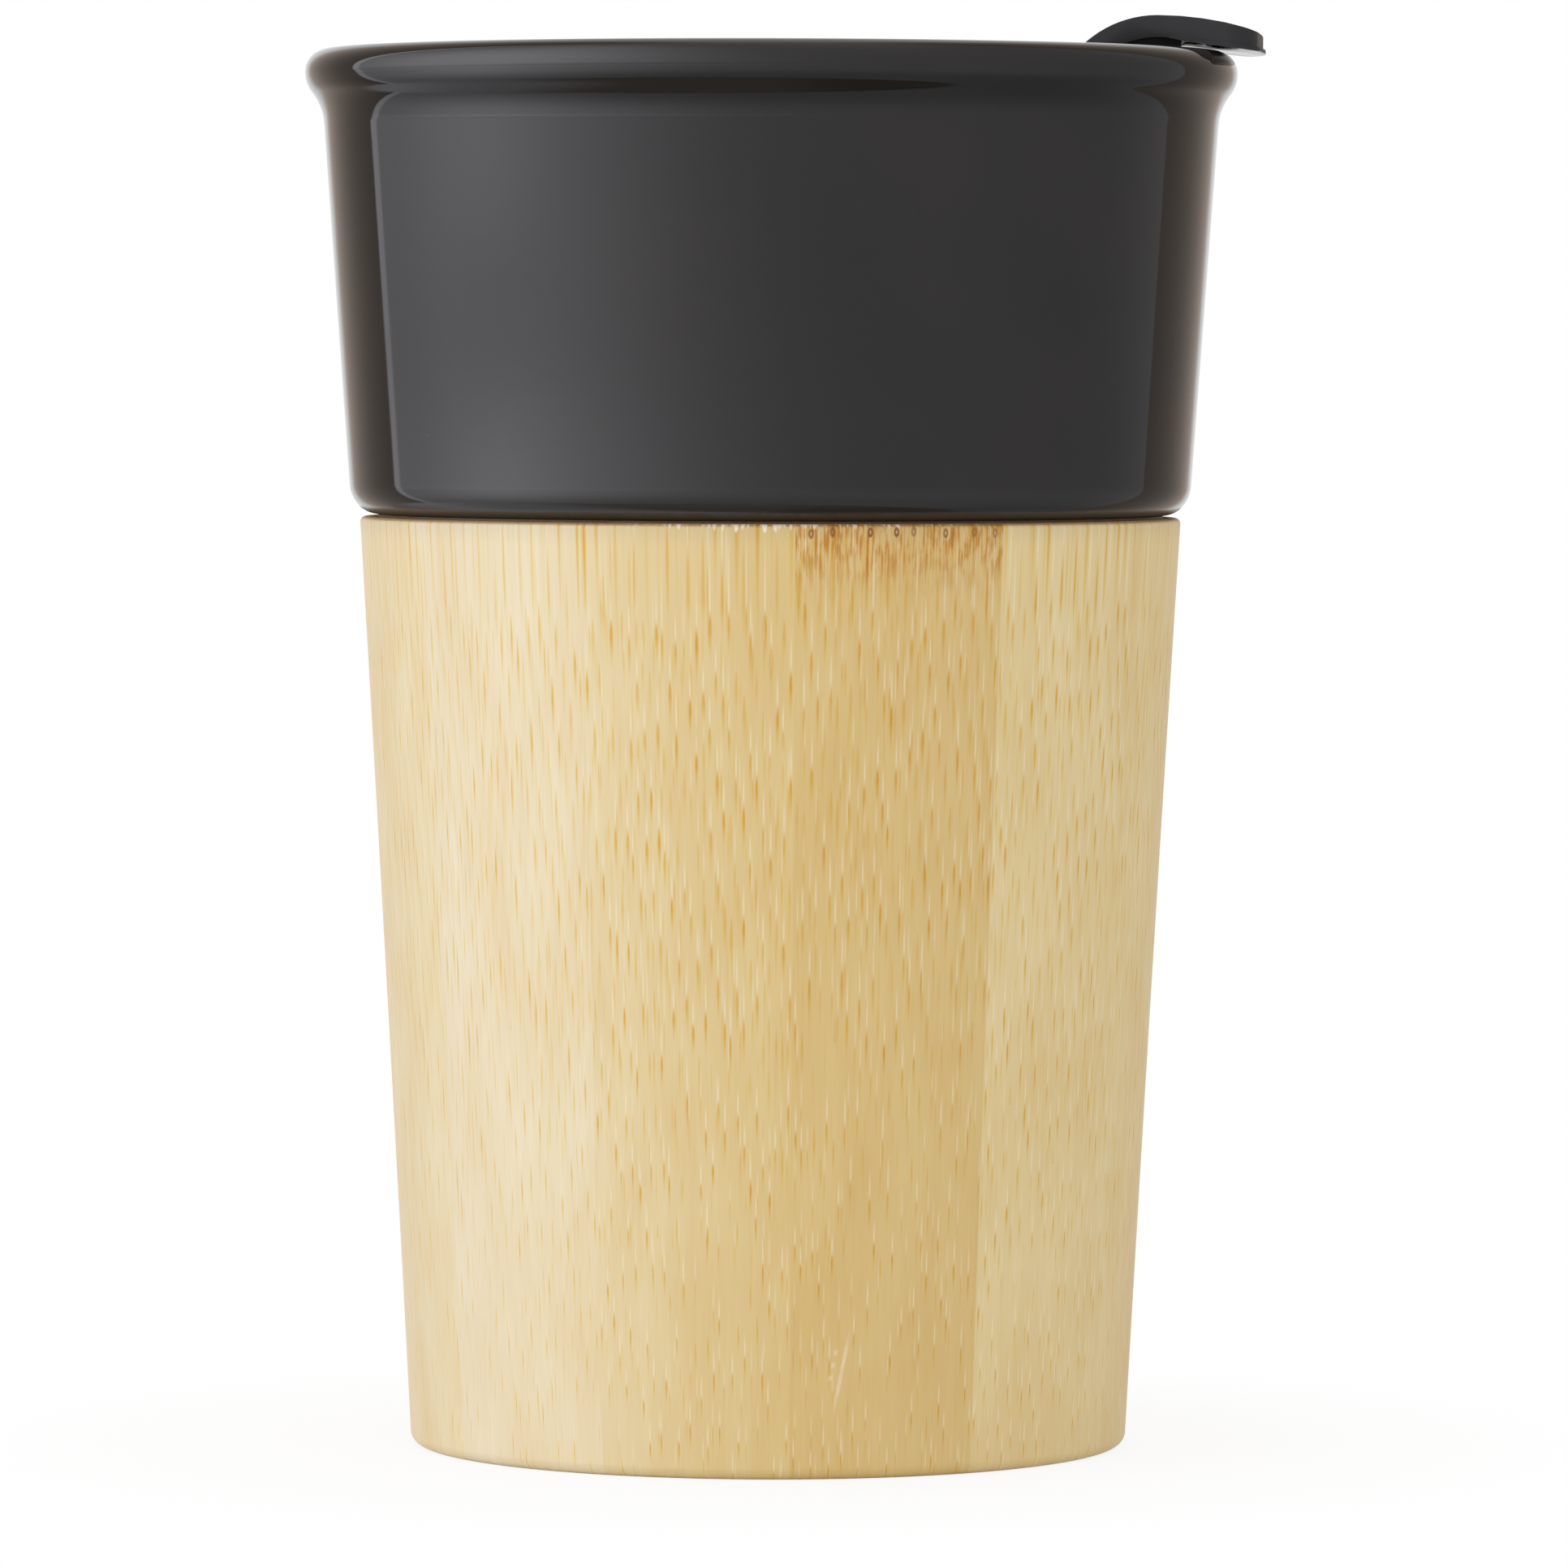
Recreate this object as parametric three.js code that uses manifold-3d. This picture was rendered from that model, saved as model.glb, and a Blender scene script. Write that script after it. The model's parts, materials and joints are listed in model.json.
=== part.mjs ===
// A porcelain travel cup: a black glazed cup with a rolled lip, a sleeve of twelve glued bamboo strips
// round its lower two thirds, and a plug-in lid with a flip cover over its sip slot.
// Millimetres, +Z up. The origin is the middle of the foot, on the table. +X is the side one drinks from.
import * as THREE from 'three';
import { mergeVertices } from 'three/addons/utils/BufferGeometryUtils.js';
import Module from 'manifold-3d';

// Bamboo sleeve
const sleeveHeight = 85.9;
const sleeveFootRadius = 33.15;
const sleeveTopRadius = 38.0;
const stripCount = 12;
const stripWall = 4.2;
const stripTurn = 3.4; // degrees from the front to the first glued joint
const glueLine = 0.2;
const footRound = 1.45;
const topEdgeRound = 0.4;
const baseThickness = 5;
const baseFit = 0.3;

// Porcelain cup
const bandHeight = 42.85; // from the top of the sleeve to the top of the lip
const bedding = 0.3; // bonded gap where the cup sits on the sleeve and on the base disc
const sleeveBond = 0.4; // bonded gap between the cup's lower body and the sleeve's bore
const shoulderOverhang = 0.72; // how far the shoulder stands out past the top of the sleeve
const shoulderRound = 2.4;
const lipRadius = 43;
const lipBead = 1.95; // radius of the bead round the lip
const lipOverhang = 1.37; // how far the bead stands out past the wall
const lipFillet = 5; // hollow curve under the bead
const lipFlare = 4.15; // depth of the flare inside the lip
const porcelainWall = 3.3;
const porcelainFloor = 4;
const floorRound = 7;
const footRingWidth = 4.5;
const footRecess = 1.2;
const footEdge = 1;
const stepRise = 12; // the inside widens from below the shoulder to this far above it
const stepDrop = 3;

// Lid
const lidClearance = 0.4;
const lidDrop = 0.35; // the lid's top lies this far below the top of the lip
const lidEdge = 0.5;
const lidWall = 1.8;
const deckDepth = 5.75; // from the top of the lip down to the deck
const deckThickness = 2;
const deckRound = 1.2;
const skirtDepth = 9.5; // from the deck's top down to the end of the skirt
const skirtWall = 2.8;
const grooveHeight = 3;
const grooveDepth = 1.3;
const grooveLift = 2;
const sealGap = 0.15;
const sealRib = 0.45;
const ventRadius = 1;
const ventReach = 22;

// Flip cover, its hinge and its plug
const coverWidth = 22;
const coverThickness = 2.02;
const coverRise = 3.37; // top of the arch above the lip
const archRadius = 9.9;
const archInset = 7.81; // from the widest of the lip back to the top of the arch
const crownRadius = 30; // long curve from the top of the arch out to the tip
const tipReach = 2.3; // how far the tip overhangs the lip
const tipCorner = 3;
const tipFall = 0.33;
const lipGap = 0.3; // between the cover and the lip
const rootFillet = 2.5; // hollow curve where the arch rises from the strap
const deckGap = 0.3;
const hingeReach = 8; // from the cup's axis to the hinge pin
const knuckleRadius = 2.2;
const knuckleLength = 11;
const earThickness = 2.5;
const earGap = 0.3;
const pinRadius = 0.9;
const pinClearance = 0.1;
const sipLength = 16;
const sipWidth = 5;
const sipInset = 1.3; // from the arch's inner face to the sip slot
const plugClearance = 0.3;
const plugWall = 0.9;
const plugHeight = 2.5; // how far the plug stands above the deck
const plugLift = 0.4; // from the deck's underside up to the plug's end
const plugEdge = 0.5;
const bladeGap = 0.2;
const webReach = 1.8; // how far the web under the arch runs past the top of the arch

// Fineness of round surfaces
const stripFacets = 4;
const sides = stripCount * stripFacets;
const pinSides = 24;
const profileSteps = 3;
const outlineSteps = 4;
const weld = 1e-4; // points closer than this are one point
const overlap = 1; // cutters and joined pieces run this far past the face they meet

// Heights that several pieces share
const seatHeight = sleeveHeight + bedding;
const rimHeight = sleeveHeight + bandHeight;
const footHeight = baseThickness + bedding;
const floorHeight = footHeight + porcelainFloor;
const beadHeight = rimHeight - lipBead;
const flareHeight = rimHeight - lipFlare;
const deckTop = rimHeight - deckDepth;
const deckBottom = deckTop - deckThickness;
const skirtBottom = deckTop - skirtDepth;
const lidTop = rimHeight - lidDrop;
const strapBottom = deckTop + deckGap;
const strapTop = strapBottom + coverThickness;
const hingeHeight = strapBottom + knuckleRadius;

// Radii that several pieces share, each as a function of height
const sleeveLean = (sleeveTopRadius - sleeveFootRadius) / sleeveHeight;
const sleeveRadius = (z) => sleeveFootRadius + sleeveLean * z;
const boreRadius = (z) => sleeveRadius(z) - stripWall;
const bodyRadius = (z) => boreRadius(z) - sleeveBond;
const beadRadius = lipRadius - lipBead;
const shoulderRadius = sleeveTopRadius + shoulderOverhang;
const bandLean = (lipRadius - lipOverhang - shoulderRadius) / (beadHeight - seatHeight);
const bandRadius = (z) => shoulderRadius + bandLean * (z - seatHeight);
const mouthRadius = (z) => bandRadius(z) - porcelainWall;
const lidRadius = (z) => mouthRadius(z) - lidClearance;
const lidInside = lidRadius(deckTop) - lidWall;
const flareWidth = beadRadius - mouthRadius(flareHeight);

// The arch of the cover and the slot that it covers
const archCentre = new THREE.Vector2(lipRadius - archInset, rimHeight + coverRise - archRadius);
const archInner = archRadius - coverThickness;
const tipRadius = lipRadius + tipReach;
const sipMiddle = archCentre.x - archInner + sipInset + sipWidth / 2;

const wasm = await Module();
wasm.setup();

// A closed geometry as a solid that can be joined and cut. Triangles that shrank to a line are dropped.
function solidOf(geometry) {
  const bare = geometry.clone();
  bare.deleteAttribute('normal');
  bare.deleteAttribute('uv');
  const merged = mergeVertices(bare, weld);
  const triangles = [];
  for (let i = 0; i < merged.index.count; i += 3) {
    const [a, b, c] = [0, 1, 2].map((corner) => merged.index.getX(i + corner));
    if (a !== b && b !== c && c !== a) triangles.push(a, b, c);
  }
  return new wasm.Manifold(new wasm.Mesh({
    numProp: 3,
    vertProperties: new Float32Array(merged.attributes.position.array),
    triVerts: new Uint32Array(triangles),
  }));
}

function geometryOf(solid) {
  const mesh = solid.getMesh();
  const geometry = new THREE.BufferGeometry();
  geometry.setAttribute('position', new THREE.BufferAttribute(new Float32Array(mesh.vertProperties), 3));
  geometry.setIndex(new THREE.BufferAttribute(new Uint32Array(mesh.triVerts), 1));
  geometry.computeVertexNormals();
  return geometry;
}

// A profile of radius and height, turned about the Z axis. Facets line up with the joints of the strips.
function turned(path) {
  const profile = path.getPoints(profileSteps);
  const lathe = new THREE.LatheGeometry(profile, sides, THREE.MathUtils.degToRad(stripTurn));
  return solidOf(lathe.rotateX(Math.PI / 2));
}

function extruded(shape, depth) {
  return new THREE.ExtrudeGeometry(shape, { depth, bevelEnabled: false, curveSegments: outlineSteps });
}

// A side view in X and Z, made solid to both sides of the plane y = 0.
function acrossY(shape, width, middle = 0) {
  return solidOf(extruded(shape, width).rotateX(Math.PI / 2).translate(0, middle + width / 2, 0));
}

// A plan view in X and Y, made solid from one height up to another.
function upright(shape, low, high) {
  return solidOf(extruded(shape, high - low).translate(0, 0, low));
}

function slotOutline(middle, length, width) {
  const end = width / 2;
  const straight = length / 2 - end;
  const outline = new THREE.Shape();
  outline.absarc(middle, straight, end, 0, Math.PI, false);
  outline.absarc(middle, -straight, end, Math.PI, 2 * Math.PI, false);
  return outline;
}

// A rod along Y through the hinge.
function hingeRod(radius, length) {
  const rod = new THREE.CylinderGeometry(radius, radius, length, pinSides);
  return solidOf(rod.translate(hingeReach, 0, hingeHeight));
}

const cup = new THREE.Group();

function addPiece(name, solid, { color, roughness, metalness = 0 }) {
  const material = new THREE.MeshStandardMaterial({ color, roughness, metalness });
  const mesh = new THREE.Mesh(geometryOf(solid), material);
  mesh.name = name;
  cup.add(mesh);
}

const blackGlaze = { color: 0x16130f, roughness: 0.05 };
const bambooTones = [0xe6cfa0, 0xdcb878, 0xcfa765, 0xe2c690, 0xdabb80, 0xe8d3a6];
const blackMoulding = { color: 0x1b1b1c, roughness: 0.45 };
const blackRubber = { color: 0x141414, roughness: 0.7 };
const steel = { color: 0xb8babd, roughness: 0.25, metalness: 1 };

// The cup's profile runs from under its foot, up the outside, over the lip and down the inside.
function porcelainProfile() {
  const profile = new THREE.Path();
  const ringOuter = bodyRadius(footHeight);
  profile.moveTo(0, footHeight + footRecess);
  profile.lineTo(ringOuter - footRingWidth - footRecess, footHeight + footRecess);
  profile.lineTo(ringOuter - footRingWidth, footHeight);
  profile.lineTo(ringOuter - footEdge, footHeight);
  profile.lineTo(bodyRadius(footHeight + footEdge), footHeight + footEdge);
  profile.lineTo(bodyRadius(seatHeight), seatHeight);

  const bandAngle = Math.atan(bandLean);
  const shoulderMiddle = seatHeight + shoulderRound;
  const shoulderCentre = bandRadius(shoulderMiddle) - shoulderRound / Math.cos(bandAngle);
  profile.lineTo(shoulderCentre, seatHeight);
  profile.absarc(shoulderCentre, shoulderMiddle, shoulderRound, -Math.PI / 2, -bandAngle, false);

  // The hollow under the lip touches both the wall and the bead.
  const along = new THREE.Vector2(Math.sin(bandAngle), Math.cos(bandAngle));
  const outward = new THREE.Vector2(along.y, -along.x);
  const wallPoint = new THREE.Vector2(bandRadius(beadHeight), beadHeight);
  const bead = new THREE.Vector2(beadRadius, beadHeight);
  const offset = bead.clone().sub(wallPoint);
  const beadReach = lipFillet + lipBead;
  const sideways = lipFillet - offset.dot(outward);
  const drop = offset.dot(along) - Math.sqrt(beadReach ** 2 - sideways ** 2);
  const hollow = wallPoint.clone().addScaledVector(along, drop).addScaledVector(outward, lipFillet);
  const towardBead = Math.atan2(bead.y - hollow.y, bead.x - hollow.x);
  profile.absarc(hollow.x, hollow.y, lipFillet, Math.PI - bandAngle, towardBead, true);
  profile.absarc(bead.x, bead.y, lipBead, towardBead - Math.PI, Math.PI / 2, false);

  profile.absellipse(beadRadius, flareHeight, flareWidth, lipFlare, Math.PI / 2, Math.PI, false, 0);

  const insideLow = (z) => bodyRadius(z) - porcelainWall;
  const stepTop = seatHeight + stepRise;
  const stepBottom = seatHeight - stepDrop;
  const stepBend = (stepTop - stepBottom) / 2;
  profile.lineTo(mouthRadius(stepTop), stepTop);
  profile.bezierCurveTo(
    mouthRadius(stepTop - stepBend), stepTop - stepBend,
    insideLow(stepBottom + stepBend), stepBottom + stepBend,
    insideLow(stepBottom), stepBottom,
  );
  const wallAngle = Math.atan(sleeveLean);
  const roundHeight = floorHeight + floorRound;
  const roundCentre = insideLow(roundHeight) - floorRound / Math.cos(wallAngle);
  profile.absarc(roundCentre, roundHeight, floorRound, -wallAngle, -Math.PI / 2, true);
  profile.lineTo(0, floorHeight);
  return profile;
}

function makePorcelain() {
  addPiece('porcelain_cup', turned(porcelainProfile()), blackGlaze);
}

// The strips are cut from one turned tube by wedges that stop half a glue line short of each joint.
function makeSleeve() {
  const tube = new THREE.Path();
  tube.moveTo(boreRadius(0), 0);
  tube.lineTo(sleeveRadius(0) - footRound, 0);
  tube.absarc(sleeveRadius(footRound) - footRound, footRound, footRound, -Math.PI / 2, 0, false);
  const edgeHeight = sleeveHeight - topEdgeRound;
  tube.absarc(sleeveRadius(edgeHeight) - topEdgeRound, edgeHeight, topEdgeRound, 0, Math.PI / 2, false);
  tube.lineTo(boreRadius(sleeveHeight), sleeveHeight);
  tube.lineTo(boreRadius(0), 0);
  const sleeve = turned(tube);

  const halfStrip = Math.PI / stripCount;
  const apex = glueLine / 2 / Math.sin(halfStrip);
  const far = 2 * Math.max(sleeveTopRadius, sleeveFootRadius);
  const spread = (far - apex) * Math.tan(halfStrip);
  const wedgeOutline = new THREE.Shape([
    new THREE.Vector2(0, -apex),
    new THREE.Vector2(-spread, -far),
    new THREE.Vector2(spread, -far),
  ]);
  const wedge = upright(wedgeOutline, -overlap, sleeveHeight + overlap);
  for (let strip = 0; strip < stripCount; strip += 1) {
    const turn = stripTurn + ((strip + 0.5) * 360) / stripCount;
    const name = `bamboo_strip_${String(strip + 1).padStart(2, '0')}`;
    const color = bambooTones[strip % bambooTones.length];
    addPiece(name, sleeve.intersect(wedge.rotate([0, 0, turn])), { color, roughness: 0.5 });
  }
}

function makeBase() {
  const disc = new THREE.Path();
  disc.moveTo(0, 0);
  disc.lineTo(boreRadius(0) - baseFit, 0);
  disc.lineTo(boreRadius(baseThickness) - baseFit, baseThickness);
  disc.lineTo(0, baseThickness);
  addPiece('base_disc', turned(disc), { color: 0xd8b679, roughness: 0.55 });
}

// The lid's profile runs from under the deck, round the skirt and its groove, up the flared wall and back
// over the deck. Its flare lies inside the flare of the lip, the lid's clearance away.
function lidProfile() {
  const grooveLow = skirtBottom + grooveLift;
  const grooveHigh = grooveLow + grooveHeight;
  const grooveFloor = lidRadius(grooveLow) - grooveDepth;
  const profile = new THREE.Path();
  profile.moveTo(0, deckBottom);
  profile.lineTo(lidRadius(deckBottom) - skirtWall, deckBottom);
  profile.lineTo(lidRadius(skirtBottom) - skirtWall, skirtBottom);
  profile.lineTo(lidRadius(skirtBottom), skirtBottom);
  profile.lineTo(lidRadius(grooveLow), grooveLow);
  profile.lineTo(grooveFloor, grooveLow);
  profile.lineTo(grooveFloor, grooveHigh);
  profile.lineTo(lidRadius(grooveHigh), grooveHigh);

  const flareReach = flareWidth + lidClearance;
  const flareRise = lipFlare + lidClearance;
  const flareEnd = Math.PI - Math.asin((lidTop - lidEdge - flareHeight) / flareRise);
  const flareEdge = beadRadius + flareReach * Math.cos(flareEnd);
  profile.absellipse(beadRadius, flareHeight, flareReach, flareRise, Math.PI, flareEnd, true, 0);
  profile.lineTo(flareEdge, lidTop);
  profile.lineTo(lidInside, lidTop);
  profile.absarc(lidInside - deckRound, deckTop + deckRound, deckRound, 0, -Math.PI / 2, true);
  profile.lineTo(0, deckTop);
  return profile;
}

function makeLid() {
  const ear = new THREE.Shape();
  const earRadius = knuckleRadius;
  ear.moveTo(hingeReach - earRadius, deckTop - deckThickness / 2);
  ear.lineTo(hingeReach + earRadius, deckTop - deckThickness / 2);
  ear.absarc(hingeReach, hingeHeight, earRadius, 0, Math.PI, false);
  const earMiddle = knuckleLength / 2 + earGap + earThickness / 2;
  const slot = slotOutline(sipMiddle, sipLength, sipWidth);
  const vent = new THREE.Shape().absarc(-ventReach, 0, ventRadius, 0, 2 * Math.PI, false);
  const lid = turned(lidProfile())
    .add(acrossY(ear, earThickness, earMiddle))
    .add(acrossY(ear, earThickness, -earMiddle))
    .subtract(hingeRod(pinRadius + pinClearance, 2 * (earMiddle + earThickness)))
    .subtract(upright(slot, deckBottom - overlap, deckTop + overlap))
    .subtract(upright(vent, deckBottom - overlap, deckTop + overlap));
  addPiece('lid_body', lid, blackMoulding);
  addPiece('hinge_pin', hingeRod(pinRadius, 2 * earMiddle + earThickness), steel);
}

// A soft ring with two ribs that press on the porcelain.
function makeSeal() {
  const low = skirtBottom + grooveLift + sealGap;
  const high = low + grooveHeight - 2 * sealGap;
  const inner = lidRadius(skirtBottom + grooveLift) - grooveDepth + sealGap;
  const ribHeight = (high - low) / 4;
  const face = (z) => mouthRadius(z) - sealGap - sealRib;
  const ring = new THREE.Path();
  ring.moveTo(inner, low);
  ring.lineTo(face(low + ribHeight), low);
  for (const middle of [low + ribHeight, high - ribHeight]) {
    ring.absellipse(face(middle), middle, sealRib, ribHeight, -Math.PI / 2, Math.PI / 2, false, 0);
  }
  ring.lineTo(inner, high);
  ring.lineTo(inner, low);
  addPiece('lid_seal', turned(ring), blackRubber);
}

// The cover's side view: a strap that lies along the deck, an arch that climbs over the lip, and a tongue
// that ends past the lip.
function coverSide() {
  const rootHeight = strapTop + rootFillet;
  const rootRise = rootHeight - archCentre.y;
  const rootCentre = archCentre.x - Math.sqrt((archRadius + rootFillet) ** 2 - rootRise ** 2);
  const rootAngle = Math.atan2(rootRise, rootCentre - archCentre.x);
  const crownHeight = rimHeight + coverRise - crownRadius;
  const crownEnd = Math.acos((tipRadius - archCentre.x) / crownRadius);
  const tipHeight = rimHeight + lipGap - tipFall;
  const underStart = Math.PI / 2 - Math.asin(webReach / archInner);
  const heel = Math.PI - Math.asin((strapTop - archCentre.y) / archInner);

  const side = new THREE.Shape();
  side.moveTo(hingeReach, strapBottom);
  side.lineTo(archCentre.x - archInner, strapBottom);
  side.absarc(archCentre.x, archCentre.y, archInner, heel, underStart, true);
  side.quadraticCurveTo(beadRadius, rimHeight + lipGap, tipRadius, tipHeight);
  side.absarc(archCentre.x, crownHeight, crownRadius, crownEnd, Math.PI / 2, false);
  side.absarc(archCentre.x, archCentre.y, archRadius, Math.PI / 2, rootAngle, false);
  side.absarc(rootCentre, rootHeight, rootFillet, rootAngle - Math.PI, -Math.PI / 2, true);
  side.lineTo(hingeReach, strapTop);
  return side;
}

// The cover's plan: a neck between the ears, a strap, and a tip that follows the round of the lip.
function coverPlan() {
  const half = coverWidth / 2;
  const neck = knuckleLength / 2;
  const neckEnd = hingeReach + knuckleRadius + 2 * earGap;
  const cornerY = half - tipCorner;
  const cornerX = Math.sqrt((tipRadius - tipCorner) ** 2 - cornerY ** 2);
  const cornerAngle = Math.atan2(cornerY, cornerX);
  const plan = new THREE.Shape();
  plan.moveTo(hingeReach - overlap, -neck);
  plan.lineTo(neckEnd, -neck);
  plan.lineTo(neckEnd, -half);
  plan.absarc(cornerX, -cornerY, tipCorner, -Math.PI / 2, -cornerAngle, false);
  plan.absarc(0, 0, tipRadius, -cornerAngle, cornerAngle, false);
  plan.absarc(cornerX, cornerY, tipCorner, cornerAngle, Math.PI / 2, false);
  plan.lineTo(neckEnd, half);
  plan.lineTo(neckEnd, neck);
  plan.lineTo(hingeReach - overlap, neck);
  return plan;
}

// Under the arch a web stiffens the cover, and a blade runs down from it into the plug.
function makeCover() {
  const bladeHalf = sipWidth / 2 - plugClearance - plugWall - bladeGap;
  const bladeWidth = sipLength - sipWidth - 2 * bladeGap;
  const bladeEnd = deckBottom + plugLift + plugWall + bladeGap;
  const webEnd = archCentre.x + webReach;
  const webRadius = archRadius - coverThickness / 2; // the web's top lies inside the arch
  const rise = (x) => archCentre.y + Math.sqrt(webRadius ** 2 - (x - archCentre.x) ** 2);
  const web = new THREE.Shape();
  web.moveTo(sipMiddle - bladeHalf, bladeEnd);
  web.lineTo(sipMiddle + bladeHalf, bladeEnd);
  web.lineTo(sipMiddle + bladeHalf, rimHeight + lipGap);
  web.lineTo(webEnd, rimHeight + lipGap);
  web.lineTo(webEnd, rise(webEnd));
  web.lineTo(archCentre.x, rise(archCentre.x));
  web.lineTo(sipMiddle + bladeHalf, rise(sipMiddle + bladeHalf));
  web.lineTo(sipMiddle - bladeHalf, rise(sipMiddle - bladeHalf));

  const cover = acrossY(coverSide(), coverWidth + 2 * overlap)
    .intersect(upright(coverPlan(), deckBottom, rimHeight + coverRise + overlap))
    .add(hingeRod(knuckleRadius, knuckleLength))
    .subtract(hingeRod(pinRadius + pinClearance, knuckleLength + 2 * overlap))
    .add(acrossY(web, bladeWidth));
  addPiece('flip_cover', cover, blackMoulding);
}

function makePlug() {
  const end = deckBottom + plugLift;
  const top = deckTop + plugHeight;
  const width = sipWidth - 2 * plugClearance;
  const length = sipLength - 2 * plugClearance;
  const pocket = slotOutline(sipMiddle, length - 2 * plugWall, width - 2 * plugWall);
  const nose = slotOutline(sipMiddle, length - 2 * plugEdge, width - 2 * plugEdge);
  const plug = upright(slotOutline(sipMiddle, length, width), end + plugEdge, top)
    .add(upright(nose, end, end + plugWall))
    .subtract(upright(pocket, end + plugWall, top + overlap));
  addPiece('sip_plug', plug, blackRubber);
}

makePorcelain();
makeSleeve();
makeBase();
makeLid();
makeSeal();
makeCover();
makePlug();

export default cup;
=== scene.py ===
# %% [markdown]
# A porcelain travel cup in a bamboo sleeve, with a plug-in lid and a flip cover.
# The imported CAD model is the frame: it fixes where each piece sits, how large it is and what it moves with.
# The cells below dress that frame. First come the drawing tools, then the finishes, then the pieces from
# the foot up to the lid, and last the studio and the camera.

# %% Load the frame
import json
import math

import bmesh
import bpy
from mathutils import Matrix, Vector

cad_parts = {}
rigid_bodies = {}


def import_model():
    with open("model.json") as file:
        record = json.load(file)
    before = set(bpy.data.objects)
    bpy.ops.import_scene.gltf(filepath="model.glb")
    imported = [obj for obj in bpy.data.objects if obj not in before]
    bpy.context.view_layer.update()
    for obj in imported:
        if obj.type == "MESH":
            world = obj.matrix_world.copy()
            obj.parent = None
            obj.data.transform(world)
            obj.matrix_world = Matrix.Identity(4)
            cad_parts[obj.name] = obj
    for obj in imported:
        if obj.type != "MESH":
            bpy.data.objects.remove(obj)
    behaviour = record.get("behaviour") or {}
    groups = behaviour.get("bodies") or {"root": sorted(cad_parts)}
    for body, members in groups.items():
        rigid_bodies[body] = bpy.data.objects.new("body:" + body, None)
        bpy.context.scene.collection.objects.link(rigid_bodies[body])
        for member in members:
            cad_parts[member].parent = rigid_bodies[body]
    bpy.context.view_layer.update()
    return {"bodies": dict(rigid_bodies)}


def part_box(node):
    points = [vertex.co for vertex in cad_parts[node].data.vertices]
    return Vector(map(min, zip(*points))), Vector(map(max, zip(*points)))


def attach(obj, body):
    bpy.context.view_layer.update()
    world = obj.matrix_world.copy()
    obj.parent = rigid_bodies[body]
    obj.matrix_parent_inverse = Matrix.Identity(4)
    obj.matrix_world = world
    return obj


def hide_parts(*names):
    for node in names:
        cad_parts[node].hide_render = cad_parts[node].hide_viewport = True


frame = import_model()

scene = bpy.context.scene
print("bodies:", ", ".join(frame["bodies"]))

# %% [markdown]
# Every piece of this cup is turned or moulded, so every piece starts as an outline.
# An outline could be a list of points, but a pen that draws lines and arcs keeps the sizes that a maker
# measures: where a line ends, where an arc has its centre and how far it turns.
# Extruding a vertex draws a line, and spinning a vertex draws an arc. Corners that are only eased are
# marked while drawing and rounded at the end by a vertex bevel.

# %% A pen that draws outlines in millimetres
MM = 0.001
ARC_STEP = 4.0
EASE_STEPS = 3
WELD = 1e-5


class Pen:
    """Draws an outline in the X-Z plane of a bmesh."""

    def __init__(self, x, z):
        self.bm = bmesh.new()
        self.tip = self.bm.verts.new((x, 0, z))
        self.corners = {}

    def line(self, x, z, ease=0, parts=1):
        start = self.tip.co.copy()
        end = Vector((x, 0, z))
        for part in range(1, parts + 1):
            self.tip = bmesh.ops.extrude_vert_indiv(self.bm, verts=[self.tip])["verts"][0]
            self.tip.co = start.lerp(end, part / parts)
        if ease:
            self.corners.setdefault(ease, []).append(self.tip)
        return self

    def arc(self, x, z, turn, squeeze=1):
        """Turns the tip about a centre, anticlockwise in degrees. A squeezed arc is part of an ellipse."""
        centre = Matrix.Translation((-x, 0, -z))
        before = set(self.bm.verts) - {self.tip}
        bmesh.ops.scale(self.bm, vec=(1 / squeeze, 1, 1), space=centre, verts=[self.tip])
        steps = max(2, round(abs(turn) / ARC_STEP))
        made = bmesh.ops.spin(self.bm, geom=[self.tip], cent=(x, 0, z), axis=(0, -1, 0),
                              angle=math.radians(turn), steps=steps)
        drawn = [vert for vert in self.bm.verts if vert not in before]
        bmesh.ops.scale(self.bm, vec=(squeeze, 1, 1), space=centre, verts=drawn)
        self.tip = made["geom_last"][0]
        return self

    def outline(self):
        """Joins ends that meet and rounds the marked corners."""
        for ease, corners in self.corners.items():
            bmesh.ops.bevel(self.bm, geom=corners, offset=ease, offset_type="OFFSET", segments=EASE_STEPS,
                            profile=0.5, affect="VERTICES", material=-1)
        bmesh.ops.remove_doubles(self.bm, verts=self.bm.verts, dist=WELD)
        return self.bm


print("pen ready, with a point every", ARC_STEP, "degrees of arc")

# %% [markdown]
# Two ways lead from an outline to a solid. A full spin round the Z axis is the potter's wheel: it suits
# the cup, the lid and the rings. Filling the outline and extruding the face is the jigsaw: it suits the
# cover, the hinge ears and the plug. Where a moulding is cut or joined, a boolean between two closed
# solids does what the mould does, and a bevel on the sharp edges gives the small rounds that catch light.

# %% Solids from outlines
ROUND_STEPS = 180
ROD_STEPS = 64
SHARP_ANGLE = math.radians(35)
BEVEL_ANGLE = math.radians(40)


def turned(pen):
    """Turns an outline once round the Z axis and closes its seam and poles."""
    bm = pen.outline()
    bmesh.ops.spin(bm, geom=bm.verts[:] + bm.edges[:], cent=(0, 0, 0), axis=(0, 0, 1), angle=math.tau,
                   steps=ROUND_STEPS, use_merge=True)
    bmesh.ops.remove_doubles(bm, verts=bm.verts, dist=WELD)
    bmesh.ops.recalc_face_normals(bm, faces=bm.faces)
    return bm


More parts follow.
